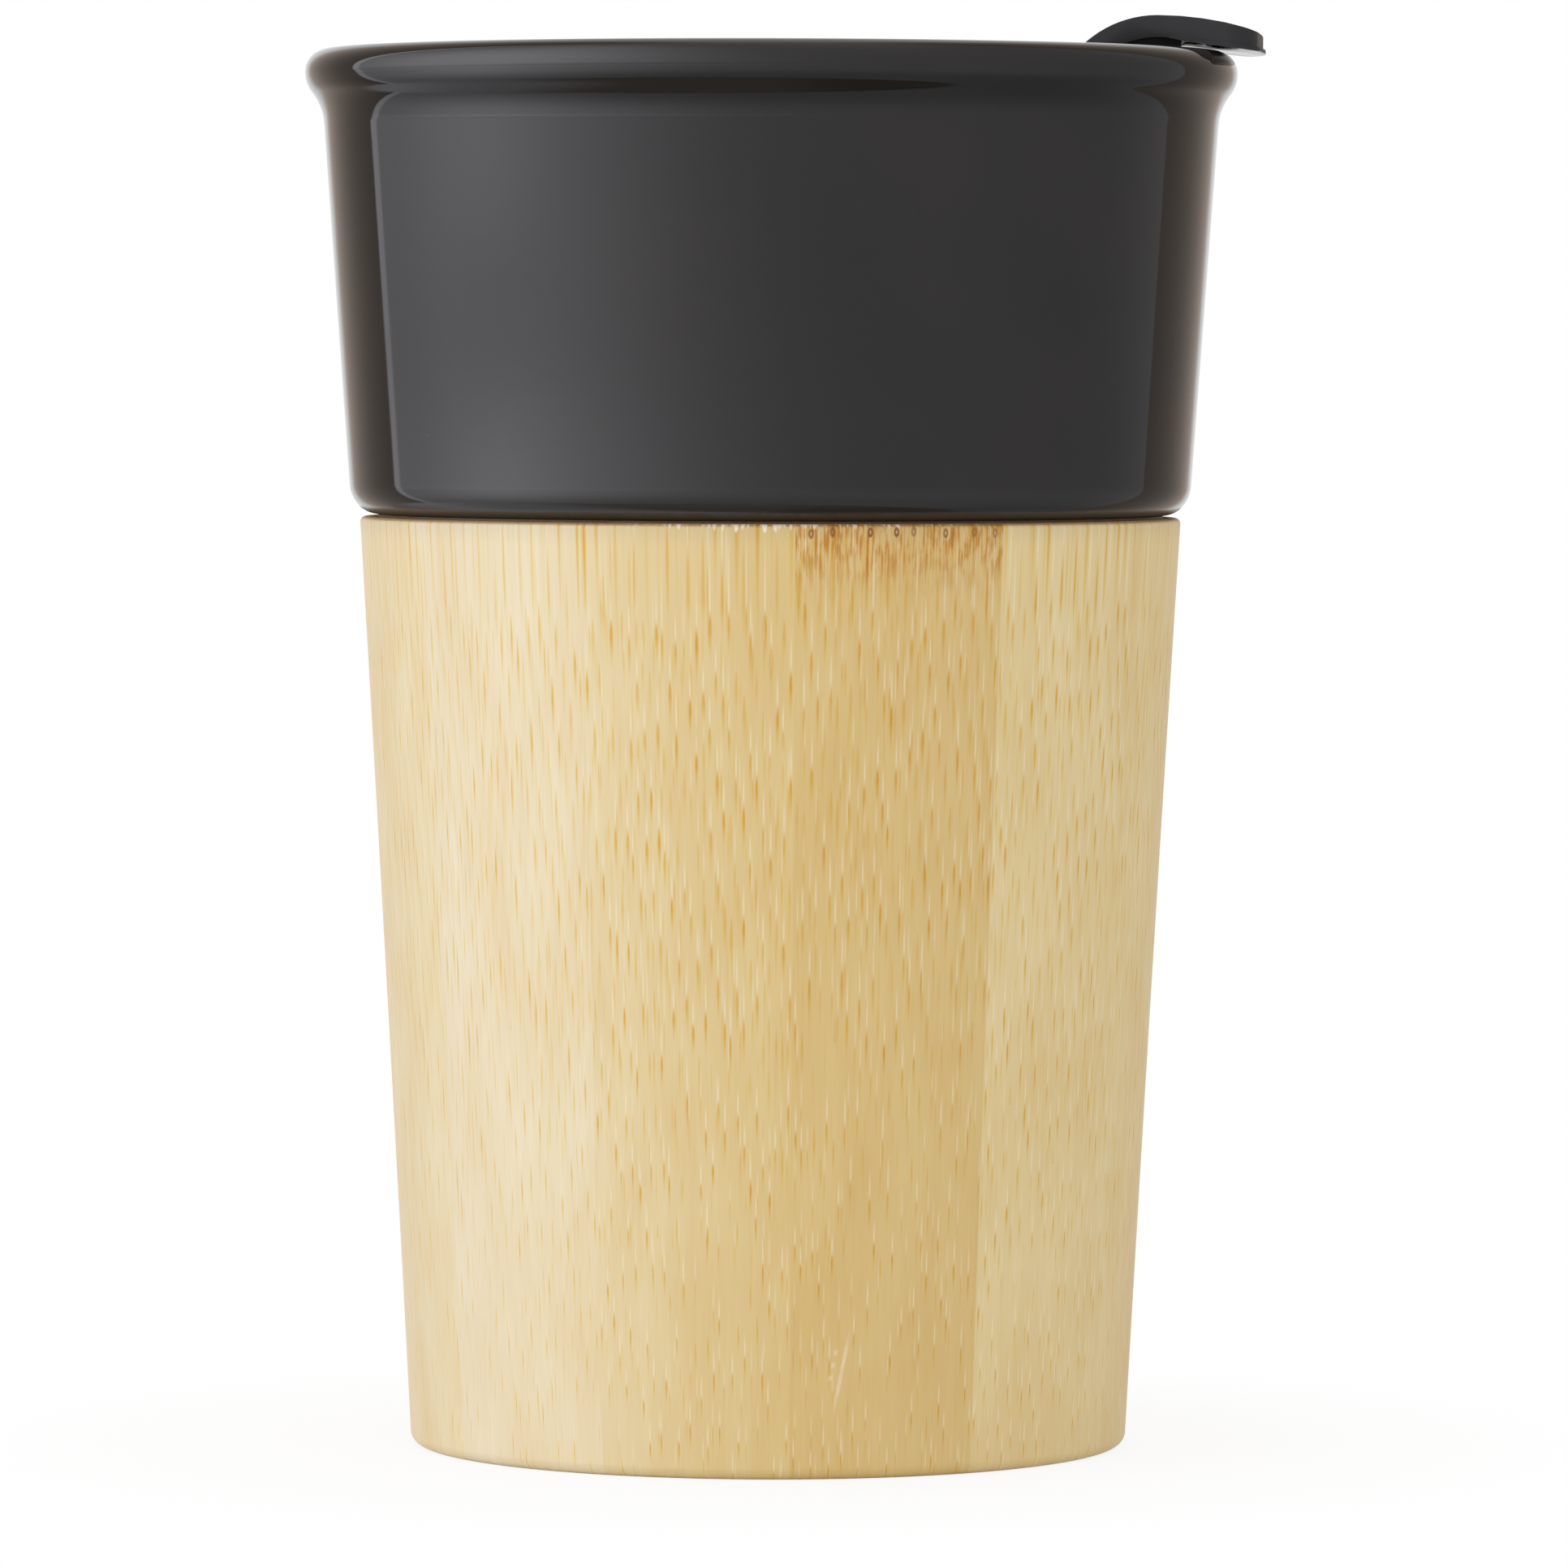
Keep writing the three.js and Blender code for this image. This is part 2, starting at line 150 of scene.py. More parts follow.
def sawn(pen, width, middle=0):
    """Fills a closed side view and gives it a width along Y."""
    bm = pen.outline()
    bmesh.ops.contextual_create(bm, geom=bm.edges)
    bmesh.ops.translate(bm, vec=(0, middle - width / 2, 0), verts=bm.verts)
    pushed = bmesh.ops.extrude_face_region(bm, geom=bm.faces[:])["geom"]
    moved = [part for part in pushed if isinstance(part, bmesh.types.BMVert)]
    bmesh.ops.translate(bm, vec=(0, width, 0), verts=moved)
    bmesh.ops.recalc_face_normals(bm, faces=bm.faces)
    return bm


def upright(pen, low, high):
    """Fills a closed plan, drawn with Z for Y, and stands it up from one height to another."""
    bm = sawn(pen, high - low)
    bmesh.ops.rotate(bm, matrix=Matrix.Rotation(-math.pi / 2, 3, "X"), verts=bm.verts)
    bmesh.ops.translate(bm, vec=(0, 0, (low + high) / 2), verts=bm.verts)
    return bm


def rod(radius, length, x, z):
    """A round bar along Y."""
    bm = bmesh.new()
    bmesh.ops.create_cone(bm, cap_ends=True, segments=ROD_STEPS, radius1=radius, radius2=radius,
                          depth=length)
    bmesh.ops.rotate(bm, matrix=Matrix.Rotation(math.pi / 2, 3, "X"), verts=bm.verts)
    bmesh.ops.translate(bm, vec=(x, 0, z), verts=bm.verts)
    return bm


def bevelled(bm, width):
    """Rounds every edge that is sharper than the bevel angle."""
    sharp = [edge for edge in bm.edges if edge.is_manifold and edge.calc_face_angle() > BEVEL_ANGLE]
    bmesh.ops.bevel(bm, geom=sharp, offset=width, offset_type="OFFSET", segments=EASE_STEPS, profile=0.5,
                    affect="EDGES", material=-1, clamp_overlap=True)
    return bm


def link_object(name, bm):
    """Puts a bmesh into the scene as an object and frees it."""
    mesh = bpy.data.meshes.new(name)
    bm.to_mesh(mesh)
    bm.free()
    thing = bpy.data.objects.new(name, mesh)
    scene.collection.objects.link(thing)
    return thing


def combined(operation, solid, *tools):
    """Joins, cuts or intersects closed solids, one boolean modifier at a time, and gives back one solid."""
    for tool in tools:
        blank = link_object("blank", solid)
        cutter = link_object("cutter", tool)
        step = blank.modifiers.new("step", "BOOLEAN")
        step.operation = operation
        step.solver = "EXACT"
        step.object = cutter
        solid = bmesh.new()
        solid.from_object(blank, bpy.context.evaluated_depsgraph_get())
        for used in (blank.data, cutter.data):
            bpy.data.meshes.remove(used)
        bmesh.ops.remove_doubles(solid, verts=solid.verts, dist=WELD)
    return solid


def add_piece(name, bm, finishes, body, node):
    """Makes a piece of a bmesh in millimetres. It rides on a body and stands for one CAD node."""
    open_edges = sum(not edge.is_manifold for edge in bm.edges)
    bmesh.ops.scale(bm, vec=(MM, MM, MM), verts=bm.verts)
    piece = link_object(name, bm)
    for finish in finishes:
        piece.data.materials.append(finish)
    piece.data.shade_smooth()
    piece.data.set_sharp_from_angle(angle=SHARP_ANGLE)
    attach(piece, body)
    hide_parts(node)
    print(f"{name}: {len(piece.data.polygons)} faces, {open_edges} open edges, for {node} on {body}")


print("a turned piece has", ROUND_STEPS, "sides")

# %% [markdown]
# Finishes are wired from shader nodes. Written out in full, each link takes three lines, so this helper
# makes a node, sets it and joins its inputs in one call. Most calls are one node. The few that make two or
# three, such as a band that rises and falls, are named for what they do.

# %% A helper for wiring shader nodes


def paint(red, green, blue):
    """A colour as a paint chart gives it, 0 to 255, turned into the linear values that shaders use."""
    def linear(level):
        share = level / 255
        return share / 12.92 if share <= 0.04045 else ((share + 0.055) / 1.055) ** 2.4
    return (linear(red), linear(green), linear(blue), 1)


class Wiring:
    """Makes nodes in one node tree."""

    def __init__(self, tree):
        self.tree = tree

    def feed(self, socket, value):
        if isinstance(value, bpy.types.NodeSocket):
            self.tree.links.new(value, socket)
        else:
            socket.default_value = value

    def node(self, kind, inputs=None, **settings):
        made = self.tree.nodes.new(kind)
        for name, value in settings.items():
            setattr(made, name, value)
        for name, value in (inputs or {}).items():
            self.feed(made.inputs[name], value)
        return made

    def math(self, operation, *values):
        return self.node("ShaderNodeMath", dict(enumerate(values)), operation=operation).outputs[0]

    def vector(self, operation, *values):
        made = self.node("ShaderNodeVectorMath", dict(enumerate(values)), operation=operation)
        return made.outputs["Value" if operation == "LENGTH" else "Vector"]

    def times(self, first, *others):
        for other in others:
            first = self.math("MULTIPLY", first, other)
        return first

    def plus(self, first, second):
        return self.math("ADD", first, second)

    def minus(self, first, second):
        return self.math("SUBTRACT", first, second)

    def over(self, first, second):
        return self.math("DIVIDE", first, second)

    def larger(self, first, second):
        return self.math("MAXIMUM", first, second)

    def unsigned(self, value):
        return self.math("ABSOLUTE", value)

    def split(self, vector):
        return self.node("ShaderNodeSeparateXYZ", {"Vector": vector}).outputs

    def join(self, x, y):
        return self.node("ShaderNodeCombineXYZ", {"X": x, "Y": y}).outputs["Vector"]

    def span(self, value, low, high, to_low=0.0, to_high=1.0, smooth=True):
        """Maps a range of values onto another and stays inside it."""
        made = self.node("ShaderNodeMapRange", {"Value": value, "From Min": low, "From Max": high,
                                                "To Min": to_low, "To Max": to_high})
        made.interpolation_type = "SMOOTHSTEP" if smooth else "LINEAR"
        return made.outputs["Result"]

    def fade(self, value, low, high):
        """Falls from one to nothing."""
        return self.span(value, low, high, 1.0, 0.0)

    def band(self, value, begin, full, fading, end):
        """Rises to one, stays there and falls again."""
        return self.times(self.span(value, begin, full), self.fade(value, fading, end))

    def mix(self, share, first, second, blend="MIX"):
        sockets = {0: share, 6: first, 7: second}
        return self.node("ShaderNodeMix", sockets, data_type="RGBA", blend_type=blend).outputs[2]

    def tint(self, colour, tint_colour):
        return self.mix(1.0, colour, tint_colour, "MULTIPLY")

    def noise(self, vector, scale, detail, dimensions="3D"):
        inputs = {"Vector": vector, "Scale": scale, "Detail": detail}
        return self.node("ShaderNodeTexNoise", inputs, noise_dimensions=dimensions).outputs[0]

    def grain(self, across, along, detail):
        """A flat noise that reads a place across and along the fibres."""
        return self.noise(self.join(across, along), 1.0, detail, "2D")

    def chance(self, seed):
        """A random number that hangs on a seed."""
        return self.node("ShaderNodeTexWhiteNoise", {"W": seed}, noise_dimensions="1D").outputs["Value"]

    def chances(self, socket, seed, dimensions):
        """Three random numbers that hang on a seed, as red, green and blue."""
        found = self.node("ShaderNodeTexWhiteNoise", {socket: seed}, noise_dimensions=dimensions)
        return self.node("ShaderNodeSeparateColor", {"Color": found.outputs["Color"]}).outputs

    def place(self):
        return self.node("ShaderNodeTexCoord").outputs["Object"]

    def group(self, tree, **inputs):
        named = {name.replace("_", " "): value for name, value in inputs.items()}
        return self.node("ShaderNodeGroup", named, node_tree=tree).outputs


def new_group(name, takes, gives):
    """Starts a node group with named sockets. Returns its wiring, what it takes and what it gives."""
    tree = bpy.data.node_groups.new(name, "ShaderNodeTree")
    for label, kind in takes.items():
        tree.interface.new_socket(label, in_out="INPUT", socket_type="NodeSocket" + kind)
    for label, kind in gives.items():
        tree.interface.new_socket(label, in_out="OUTPUT", socket_type="NodeSocket" + kind)
    taken = tree.nodes.new("NodeGroupInput").outputs
    given = tree.nodes.new("NodeGroupOutput").inputs
    return Wiring(tree), taken, given


def new_finish(name, **constants):
    """Starts a material with one Principled shader. Values that are the same all over go on its sockets."""
    material = bpy.data.materials.new(name)
    material.use_nodes = True
    shader = material.node_tree.nodes["Principled BSDF"]
    for label, value in constants.items():
        shader.inputs[label.replace("_", " ")].default_value = value
    return material, Wiring(material.node_tree), shader.inputs


def dress(wiring, shader, colour, roughness, normal=None):
    """Feeds what changes over the surface into the shader."""
    wiring.feed(shader["Base Color"], colour)
    wiring.feed(shader["Roughness"], roughness)
    if normal is not None:
        wiring.feed(shader["Normal"], normal)


def bump(wiring, height, depth, normal=None):
    """A relief of a given depth in metres."""
    inputs = {"Height": height, "Distance": depth, "Strength": 1.0}
    if normal is not None:
        inputs["Normal"] = normal
    return wiring.node("ShaderNodeBump", inputs).outputs["Normal"]


print("wiring helper ready")

# %% [markdown]
# Dust and uneven gloss are on the glaze, the mouldings and the rubber alike, so each is a node group.
# Dust is a field of cells, each with one speck of its own size. Uneven gloss is a soft noise.

# %% Shared effects: specks and uneven gloss


def specks_group():
    wiring, taken, given = new_group(
        "specks", {"Vector": "Vector", "Per Metre": "Float", "Size": "Float", "Share": "Float"},
        {"Mask": "Float"})
    cells = wiring.node("ShaderNodeTexVoronoi", {"Vector": taken["Vector"], "Scale": taken["Per Metre"],
                                                 "Randomness": 1.0})
    chance = wiring.node("ShaderNodeSeparateColor", {"Color": cells.outputs["Color"]}).outputs
    size = wiring.times(taken["Size"], wiring.span(chance["Green"], 0, 1, 0.3, 1.0, smooth=False))
    spot = wiring.fade(cells.outputs["Distance"], wiring.times(size, 0.4), size)
    there = wiring.math("LESS_THAN", chance["Red"], taken["Share"])
    wiring.feed(given["Mask"], wiring.times(spot, there))
    return wiring.tree


def gloss_group():
    wiring, taken, given = new_group(
        "uneven gloss", {"Vector": "Vector", "Per Metre": "Float", "Smooth": "Float", "Dull": "Float"},
        {"Roughness": "Float"})
    cloud = wiring.noise(taken["Vector"], taken["Per Metre"], 4.0)
    wiring.feed(given["Roughness"], wiring.span(cloud, 0.3, 0.7, taken["Smooth"], taken["Dull"]))
    return wiring.tree


SPECKS = specks_group()
GLOSS = gloss_group()


def specks(wiring, place, per_metre, size, share):
    return wiring.group(SPECKS, Vector=place, Per_Metre=per_metre, Size=size, Share=share)["Mask"]


def gloss(wiring, place, per_metre, smooth, dull):
    return wiring.group(GLOSS, Vector=place, Per_Metre=per_metre, Smooth=smooth, Dull=dull)["Roughness"]


print("groups:", SPECKS.name, "and", GLOSS.name)

# %% [markdown]
# The glaze is almost black and shines like glass. It runs while it melts: it thins over the round of the
# shoulder and shows a trace of brown along the lip. The hollow under the lip is painted darker, a painted
# shade for the lip's overhang, and the bottom edge of the shoulder is painted brown and made half matt, a
# painted reflection of the bamboo edge and the shaded gap below it. Each of these is a band of height with a
# colour of its own.
# A real glaze is never flat: it has long waves from the dipping and a fine orange peel from the kiln.
# Both are bumps of a few thousandths of a millimetre or less, which only bend the reflections. A few
# pinholes and specks of dust are lighter spots.

# %% Finish: black glaze
GLAZE_DEEP = (0.0088, 0.0080, 0.0076, 1)
GLAZE_THIN = (0.0150, 0.0115, 0.0092, 1)
GLAZE_PAINTED_REFLECTION = (0.042, 0.030, 0.023, 1)
GLAZE_PAINTED_SHADE = (0.0030, 0.0028, 0.0027, 1)
GLAZE_ROUND = (0.0155, 0.0145, 0.0140, 1)
PINHOLE = paint(120, 118, 116)
BARE_PORCELAIN = paint(214, 208, 196)
WAVE_DEPTH = 6e-6
PEEL_DEPTH = 6e-7
# Where a band of glaze begins, is full, begins to fade and ends, in millimetres from the lip or the shoulder.
PAINTED_SHADE_BAND = (-6.6, -4.6, -3.4, -2.8)
ROUND_BAND = (1.15, 1.5, 2.2, 3.4)
THIN_DEPTH = 2.2
PAINTED_REFLECTION_BAND = (0.55, 1.1)
BARE_BAND = (0.5, 0.7)


def black_glaze(foot_height, shoulder_height, lip_height):
    finish, wiring, shader = new_finish("glossy_black_glaze", IOR=1.5)
    place = wiring.place()
    height = wiring.split(place)["Z"]

    def heights(start, steps):
        return [start + step * MM for step in steps]

    thin = wiring.span(height, lip_height - THIN_DEPTH * MM, lip_height)
    cloud = wiring.span(wiring.noise(place, 55.0, 3.0), 0.35, 0.75, 0.0, 0.5)
    colour = wiring.mix(wiring.larger(thin, cloud), GLAZE_DEEP, GLAZE_THIN)
    # Painted shade: the hollow under the lip is painted darker than the rest of the glaze, for the lip's
    # overhang.
    colour = wiring.mix(wiring.band(height, *heights(lip_height, PAINTED_SHADE_BAND)), colour, GLAZE_PAINTED_SHADE)
    colour = wiring.mix(wiring.band(height, *heights(shoulder_height, ROUND_BAND)), colour, GLAZE_ROUND)
    # Painted reflection and shade: the bottom edge of the shoulder is painted brown for the bamboo edge
    # mirrored there and the shaded gap below; it is also made half matt.
    edge = wiring.fade(height, *heights(shoulder_height, PAINTED_REFLECTION_BAND))
    colour = wiring.mix(edge, colour, GLAZE_PAINTED_REFLECTION)
    pinholes = specks(wiring, place, 95.0, 0.018, 0.22)
    colour = wiring.mix(wiring.times(pinholes, 0.35), colour, PINHOLE)
    unglazed = wiring.fade(height, *heights(foot_height, BARE_BAND))
    colour = wiring.mix(unglazed, colour, BARE_PORCELAIN)
    matt = wiring.times(wiring.larger(unglazed, wiring.times(edge, 0.5)), 0.8)
    roughness = wiring.larger(gloss(wiring, place, 40.0, 0.02, 0.045), matt)
    waves = bump(wiring, wiring.noise(place, 70.0, 1.0), WAVE_DEPTH)
    peel = bump(wiring, wiring.noise(place, 900.0, 1.0), PEEL_DEPTH, waves)
    dress(wiring, shader, colour, roughness, peel)
    return finish


cup_low, cup_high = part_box("porcelain_cup")
GLAZE = black_glaze(cup_low.z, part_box("bamboo_strip_01")[1].z, cup_high.z)
print("glaze runs from", round(cup_low.z, 4), "to", round(cup_high.z, 4), "metres")

# %% [markdown]
# Bamboo has no rings. Its face shows bundles of fibres cut at a low angle: an amber dash, 3 to 6 mm long and
# a third of a millimetre wide, pointed above, fading to yellow below, and often with a thin pale dash that
# runs into its point from above. Noise can't give separate dashes, so the face is divided into narrow
# columns, each column into cells that are shifted against those of its neighbours, like bricks, and each
# cell holds one dash with its own place, length and depth.

# %% Shared effect: a field of dashes
BRICK_SHIFT = 0.382
BRICK_JITTER = 0.3


def dashes_group():
    wiring, taken, given = new_group(
        "dashes", {"Vector": "Vector", "Spacing": "Vector", "Half Width": "Float", "Length": "Float",
                   "Share": "Float"},
        {"Amber": "Float", "Pale": "Float"})
    place = wiring.split(wiring.vector("DIVIDE", taken["Vector"], taken["Spacing"]))
    column = wiring.math("FLOOR", place["X"])
    jitter = wiring.times(wiring.chance(column), BRICK_JITTER)
    along = wiring.plus(place["Y"], wiring.math("MULTIPLY_ADD", column, BRICK_SHIFT, jitter))
    chance = wiring.chances("Vector", wiring.join(column, wiring.math("FLOOR", along)), "2D")

    def between(name, low, high):
        return wiring.span(chance[name], 0, 1, low, high, smooth=False)

    aside = wiring.minus(wiring.math("FRACT", place["X"]), between("Red", 0.36, 0.64))
    aside = wiring.unsigned(wiring.times(aside, wiring.split(taken["Spacing"])["X"]))
    length = wiring.times(taken["Length"], between("Green", 0.42, 0.62))
    step = wiring.over(wiring.math("FRACT", along), length)
    there = wiring.math("LESS_THAN", chance["Blue"], taken["Share"])
    depth = wiring.times(there, wiring.span(chance["Blue"], 0, 0.9, 1.0, 0.45, smooth=False))
    tail = wiring.span(step, 0.0, 0.6, 0.4, 1.0, smooth=False)
    point = wiring.span(step, 0.66, 1.05, 1.0, 0.15, smooth=False)
    girth = wiring.times(taken["Half Width"], between("Red", 0.8, 1.15))
    width = wiring.times(girth, wiring.times(tail, point))
    amber = wiring.times(wiring.span(step, 0.0, 0.6, smooth=False), wiring.fade(step, 0.92, 1.05))
    amber = wiring.times(amber, wiring.fade(aside, wiring.times(width, 0.1), width))
    pale = wiring.times(wiring.band(step, 0.74, 0.95, 1.1, 1.58), wiring.fade(aside, 0.02, 0.12))
    pale = wiring.times(pale, wiring.math("LESS_THAN", chance["Blue"], 0.55))
    wiring.feed(given["Amber"], wiring.times(amber, depth))
    wiring.feed(given["Pale"], wiring.times(pale, there))
    return wiring.tree


DASHES = dashes_group()
print("group:", DASHES.name)

# %% [markdown]
# The bamboo's face is built up like a painter's panel: the strip's own tone, broad clouds, fine fibres, soft
# veins, then two fields of dashes, which are longer and thinner on pale bamboo. The strips and the foot board
# both use it, so it is a group that takes a place in millimetres, across and along the fibres, and gives a
# colour, a relief and a gloss.

# %% Shared effect: the face of bamboo
WHITE = (1, 1, 1, 1)
AMBER = (0.90, 0.59, 0.08, 1)
GOLD = (0.98, 0.86, 0.28, 1)
PALE = paint(244, 233, 205)
SEED_STEP = (37.7, 113.9, 0.0)
FINE_SHIFT = (211.3, 57.1, 0.0)
FINE_STRENGTH = 0.6


def bamboo_group():
    wiring, taken, given = new_group(
        "bamboo face", {"Vector": "Vector", "Tone": "Color", "Flecks": "Float", "Growth": "Float",
                        "Seed": "Float"},
        {"Color": "Color", "Height": "Float", "Roughness": "Float"})
    flecks = taken["Flecks"]
    shift = wiring.vector("MULTIPLY", wiring.join(taken["Seed"], taken["Seed"]), SEED_STEP)
    place = wiring.vector("ADD", taken["Vector"], shift)

    def streaks(across, along, detail):
        stretched = wiring.vector("MULTIPLY", place, (1 / across, 1 / along, 0.0))
        return wiring.noise(stretched, 1.0, detail, "2D")

    def tinted(colour, share, dark, light):
        return wiring.tint(colour, wiring.mix(share, dark, light))

    clouds = streaks(5.0, 15.0, 2.0)
    fibres = streaks(0.24, 8.0, 3.0)
    veins = streaks(1.1, 26.0, 2.0)
    tone = tinted(taken["Tone"], clouds, (0.96, 0.90, 0.78, 1), (1.04, 1.10, 1.22, 1))
    tone = tinted(tone, fibres, (0.97, 0.96, 0.93, 1), (1.03, 1.035, 1.05, 1))
    tone = tinted(tone, veins, (0.98, 0.965, 0.94, 1), (1.02, 1.03, 1.05, 1))

    stretch = wiring.span(flecks, 0.65, 0.9, 1.4, 1.0)
    length = wiring.times(wiring.math("MINIMUM", taken["Growth"], 1.0), stretch)
    share = wiring.span(taken["Growth"], 0.6, 1.0, 0.62, 0.92)
    girth = wiring.times(taken["Growth"], wiring.span(flecks, 0.5, 1.0, 0.66, 1.0))
    bold = wiring.group(DASHES, Vector=place, Spacing=(0.58, 9.5, 1.0), Share=share, Length=length,
                        Half_Width=wiring.times(girth, 0.235))
    moved = wiring.vector("ADD", place, FINE_SHIFT)
    fine = wiring.group(DASHES, Vector=moved, Spacing=(0.53, 10.6, 1.0), Share=share, Length=length,
                        Half_Width=wiring.times(girth, 0.16))

    def both(name):
        return wiring.larger(bold[name], wiring.times(fine[name], FINE_STRENGTH))

    amber = wiring.times(both("Amber"), wiring.span(flecks, 0.3, 1.0, 0.65, 1.0))
    tone = tinted(tone, amber, WHITE, wiring.mix(amber, GOLD, AMBER))
    pale = wiring.times(both("Pale"), wiring.span(flecks, 0.6, 0.95, 0.1, 0.5))
    wiring.feed(given["Color"], wiring.mix(pale, tone, PALE))
    wiring.feed(given["Height"], wiring.minus(fibres, wiring.times(amber, 0.5)))
    wiring.feed(given["Roughness"], wiring.span(fibres, 0.3, 0.7, 0.5, 0.4))
    return wiring.tree


BAMBOO = bamboo_group()
print("group:", BAMBOO.name)

# %% [markdown]
# The strip finish reads what each strip carries with it: a UV map that runs across and along the strip, a
# tone (with how frayed the top edge is in its fourth value), and a set of facts: how strong its dashes are,
# a seed, and where its node is. So one finish serves twelve strips, and no two look alike. Near the upper
# end the dashes grow long. Where a culm's node was planed away there is a brown, streaky band with a row of
# small ringed pores.

# %% Sizes and colours of the strips
STRIP_COUNT = 12
STRIP_DEGREES = 360 / STRIP_COUNT
STRIP_UV = "strip_uv"
STRIP_TONE = "strip_tone"
STRIP_FACTS = "strip_facts"
edge_wear = 0.13
sleeve_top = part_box("bamboo_strip_01")[1].z / MM - edge_wear
sleeve_foot_radius = 33.05
sleeve_top_radius = 37.9
sleeve_hollow = 0.07
strip_face = math.radians(STRIP_DEGREES) * (sleeve_foot_radius + sleeve_top_radius) / 2
NODE_AMBER = (0.77, 0.47, 0.10, 1)
EDGE_AMBER = (0.62, 0.42, 0.20, 1)
PAINTED_SHADE_UNDER_SHOULDER = (0.90, 0.905, 0.94, 1)
PORE_BROWN = paint(126, 76, 32)
FRAYED = paint(242, 232, 208)
SCUFFED = paint(238, 214, 182)
PORE_SPACING = 2.35
NODE_BAND = (-7.0, -0.8, 1.0, 3.0)
print("a strip is", round(strip_face, 1), "mm across and", round(sleeve_top, 1), "mm tall")

# %% Marks on the strips: node, scratch and frayed edge


def node_mark(wiring, across, along, node_height):
    """Amber streaks and a row of pores round a planed node. Returns the two masks."""
    above = wiring.minus(along, node_height)
    streak = wiring.grain(wiring.over(across, 0.2), wiring.over(along, 3.2), 3.0)
    blotch = wiring.grain(wiring.over(across, 0.8), wiring.over(along, 1.9), 2.0)
    mottle = wiring.math("MULTIPLY_ADD", streak, 1.3, wiring.times(blotch, 0.7))
    brown = wiring.times(wiring.band(above, *NODE_BAND), wiring.span(mottle, 0.84, 1.26, 0.06, 1.0))
    count = wiring.over(across, PORE_SPACING)
    jitter = wiring.chances("W", wiring.math("FLOOR", count), "1D")
    sideways = wiring.minus(wiring.math("FRACT", count), wiring.span(jitter["Red"], 0, 1, 0.3, 0.7))
    upward = wiring.minus(above, wiring.span(jitter["Green"], 0, 1, -0.12, 0.12))
    spot = wiring.join(wiring.times(sideways, PORE_SPACING * 1.15), wiring.times(upward, 0.58))
    away = wiring.vector("LENGTH", spot)
    ring = wiring.times(wiring.span(away, 0.04, 0.17, 0.25, 1.0), wiring.fade(away, 0.19, 0.33))
    return brown, wiring.times(ring, wiring.span(jitter["Blue"], 0, 1, 0.5, 0.95))


def scratch_mark(wiring, across, along, middle, slant, half_length):
    """A pale scratch in the varnish with a few ticks beside it."""
    up = wiring.minus(along, middle[1])
    aside = wiring.minus(wiring.minus(across, middle[0]), wiring.times(up, slant))

    def near(value, inner, outer):
        return wiring.fade(wiring.unsigned(value), inner, outer)

    line = wiring.times(near(up, half_length * 0.4, half_length), near(aside, 0.06, 0.26))
    streaky = wiring.grain(wiring.times(aside, 6.0), wiring.times(up, 0.5), 2.0)
    line = wiring.times(line, wiring.span(streaky, 0.3, 0.6, 0.35, 0.9))
    beat = wiring.minus(wiring.math("FRACT", wiring.over(up, 1.15)), 0.5)
    ticks = wiring.times(near(beat, 0.1, 0.3), near(wiring.plus(aside, 0.95), 0.06, 0.3))
    reach = wiring.span(wiring.unsigned(wiring.minus(up, 0.7)), 1.2, 2.0, 0.6, 0.0)
    return wiring.larger(line, wiring.times(ticks, reach))


def frayed_mark(wiring, across, below, worn):
    """Small pale teeth where the saw tore the top edge."""
    teeth = wiring.grain(wiring.times(across, 2.1), 0.0, 3.0)
    patches = wiring.grain(wiring.times(across, 0.55), 7.0, 1.0)
    worn = wiring.times(worn, wiring.span(patches, 0.35, 0.65, 0.45, 1.25))
    reach = wiring.times(worn, wiring.span(teeth, 0.34, 0.72, 0.1, 1.5))
    left = wiring.minus(reach, below)
    return wiring.times(wiring.span(left, 0.0, 0.35, 0.0, 0.85), wiring.span(worn, 0.1, 0.5))


print("marks ready; pores every", PORE_SPACING, "mm")

# %% Finish: bamboo strips
SCRATCH_MIDDLE = (4.9, 9.8)
SCRATCH_SLANT = 0.2
SCRATCH_HALF = 4.2
LONG_DASHES = 7.0
FIBRE_DEPTH = 1.0e-5


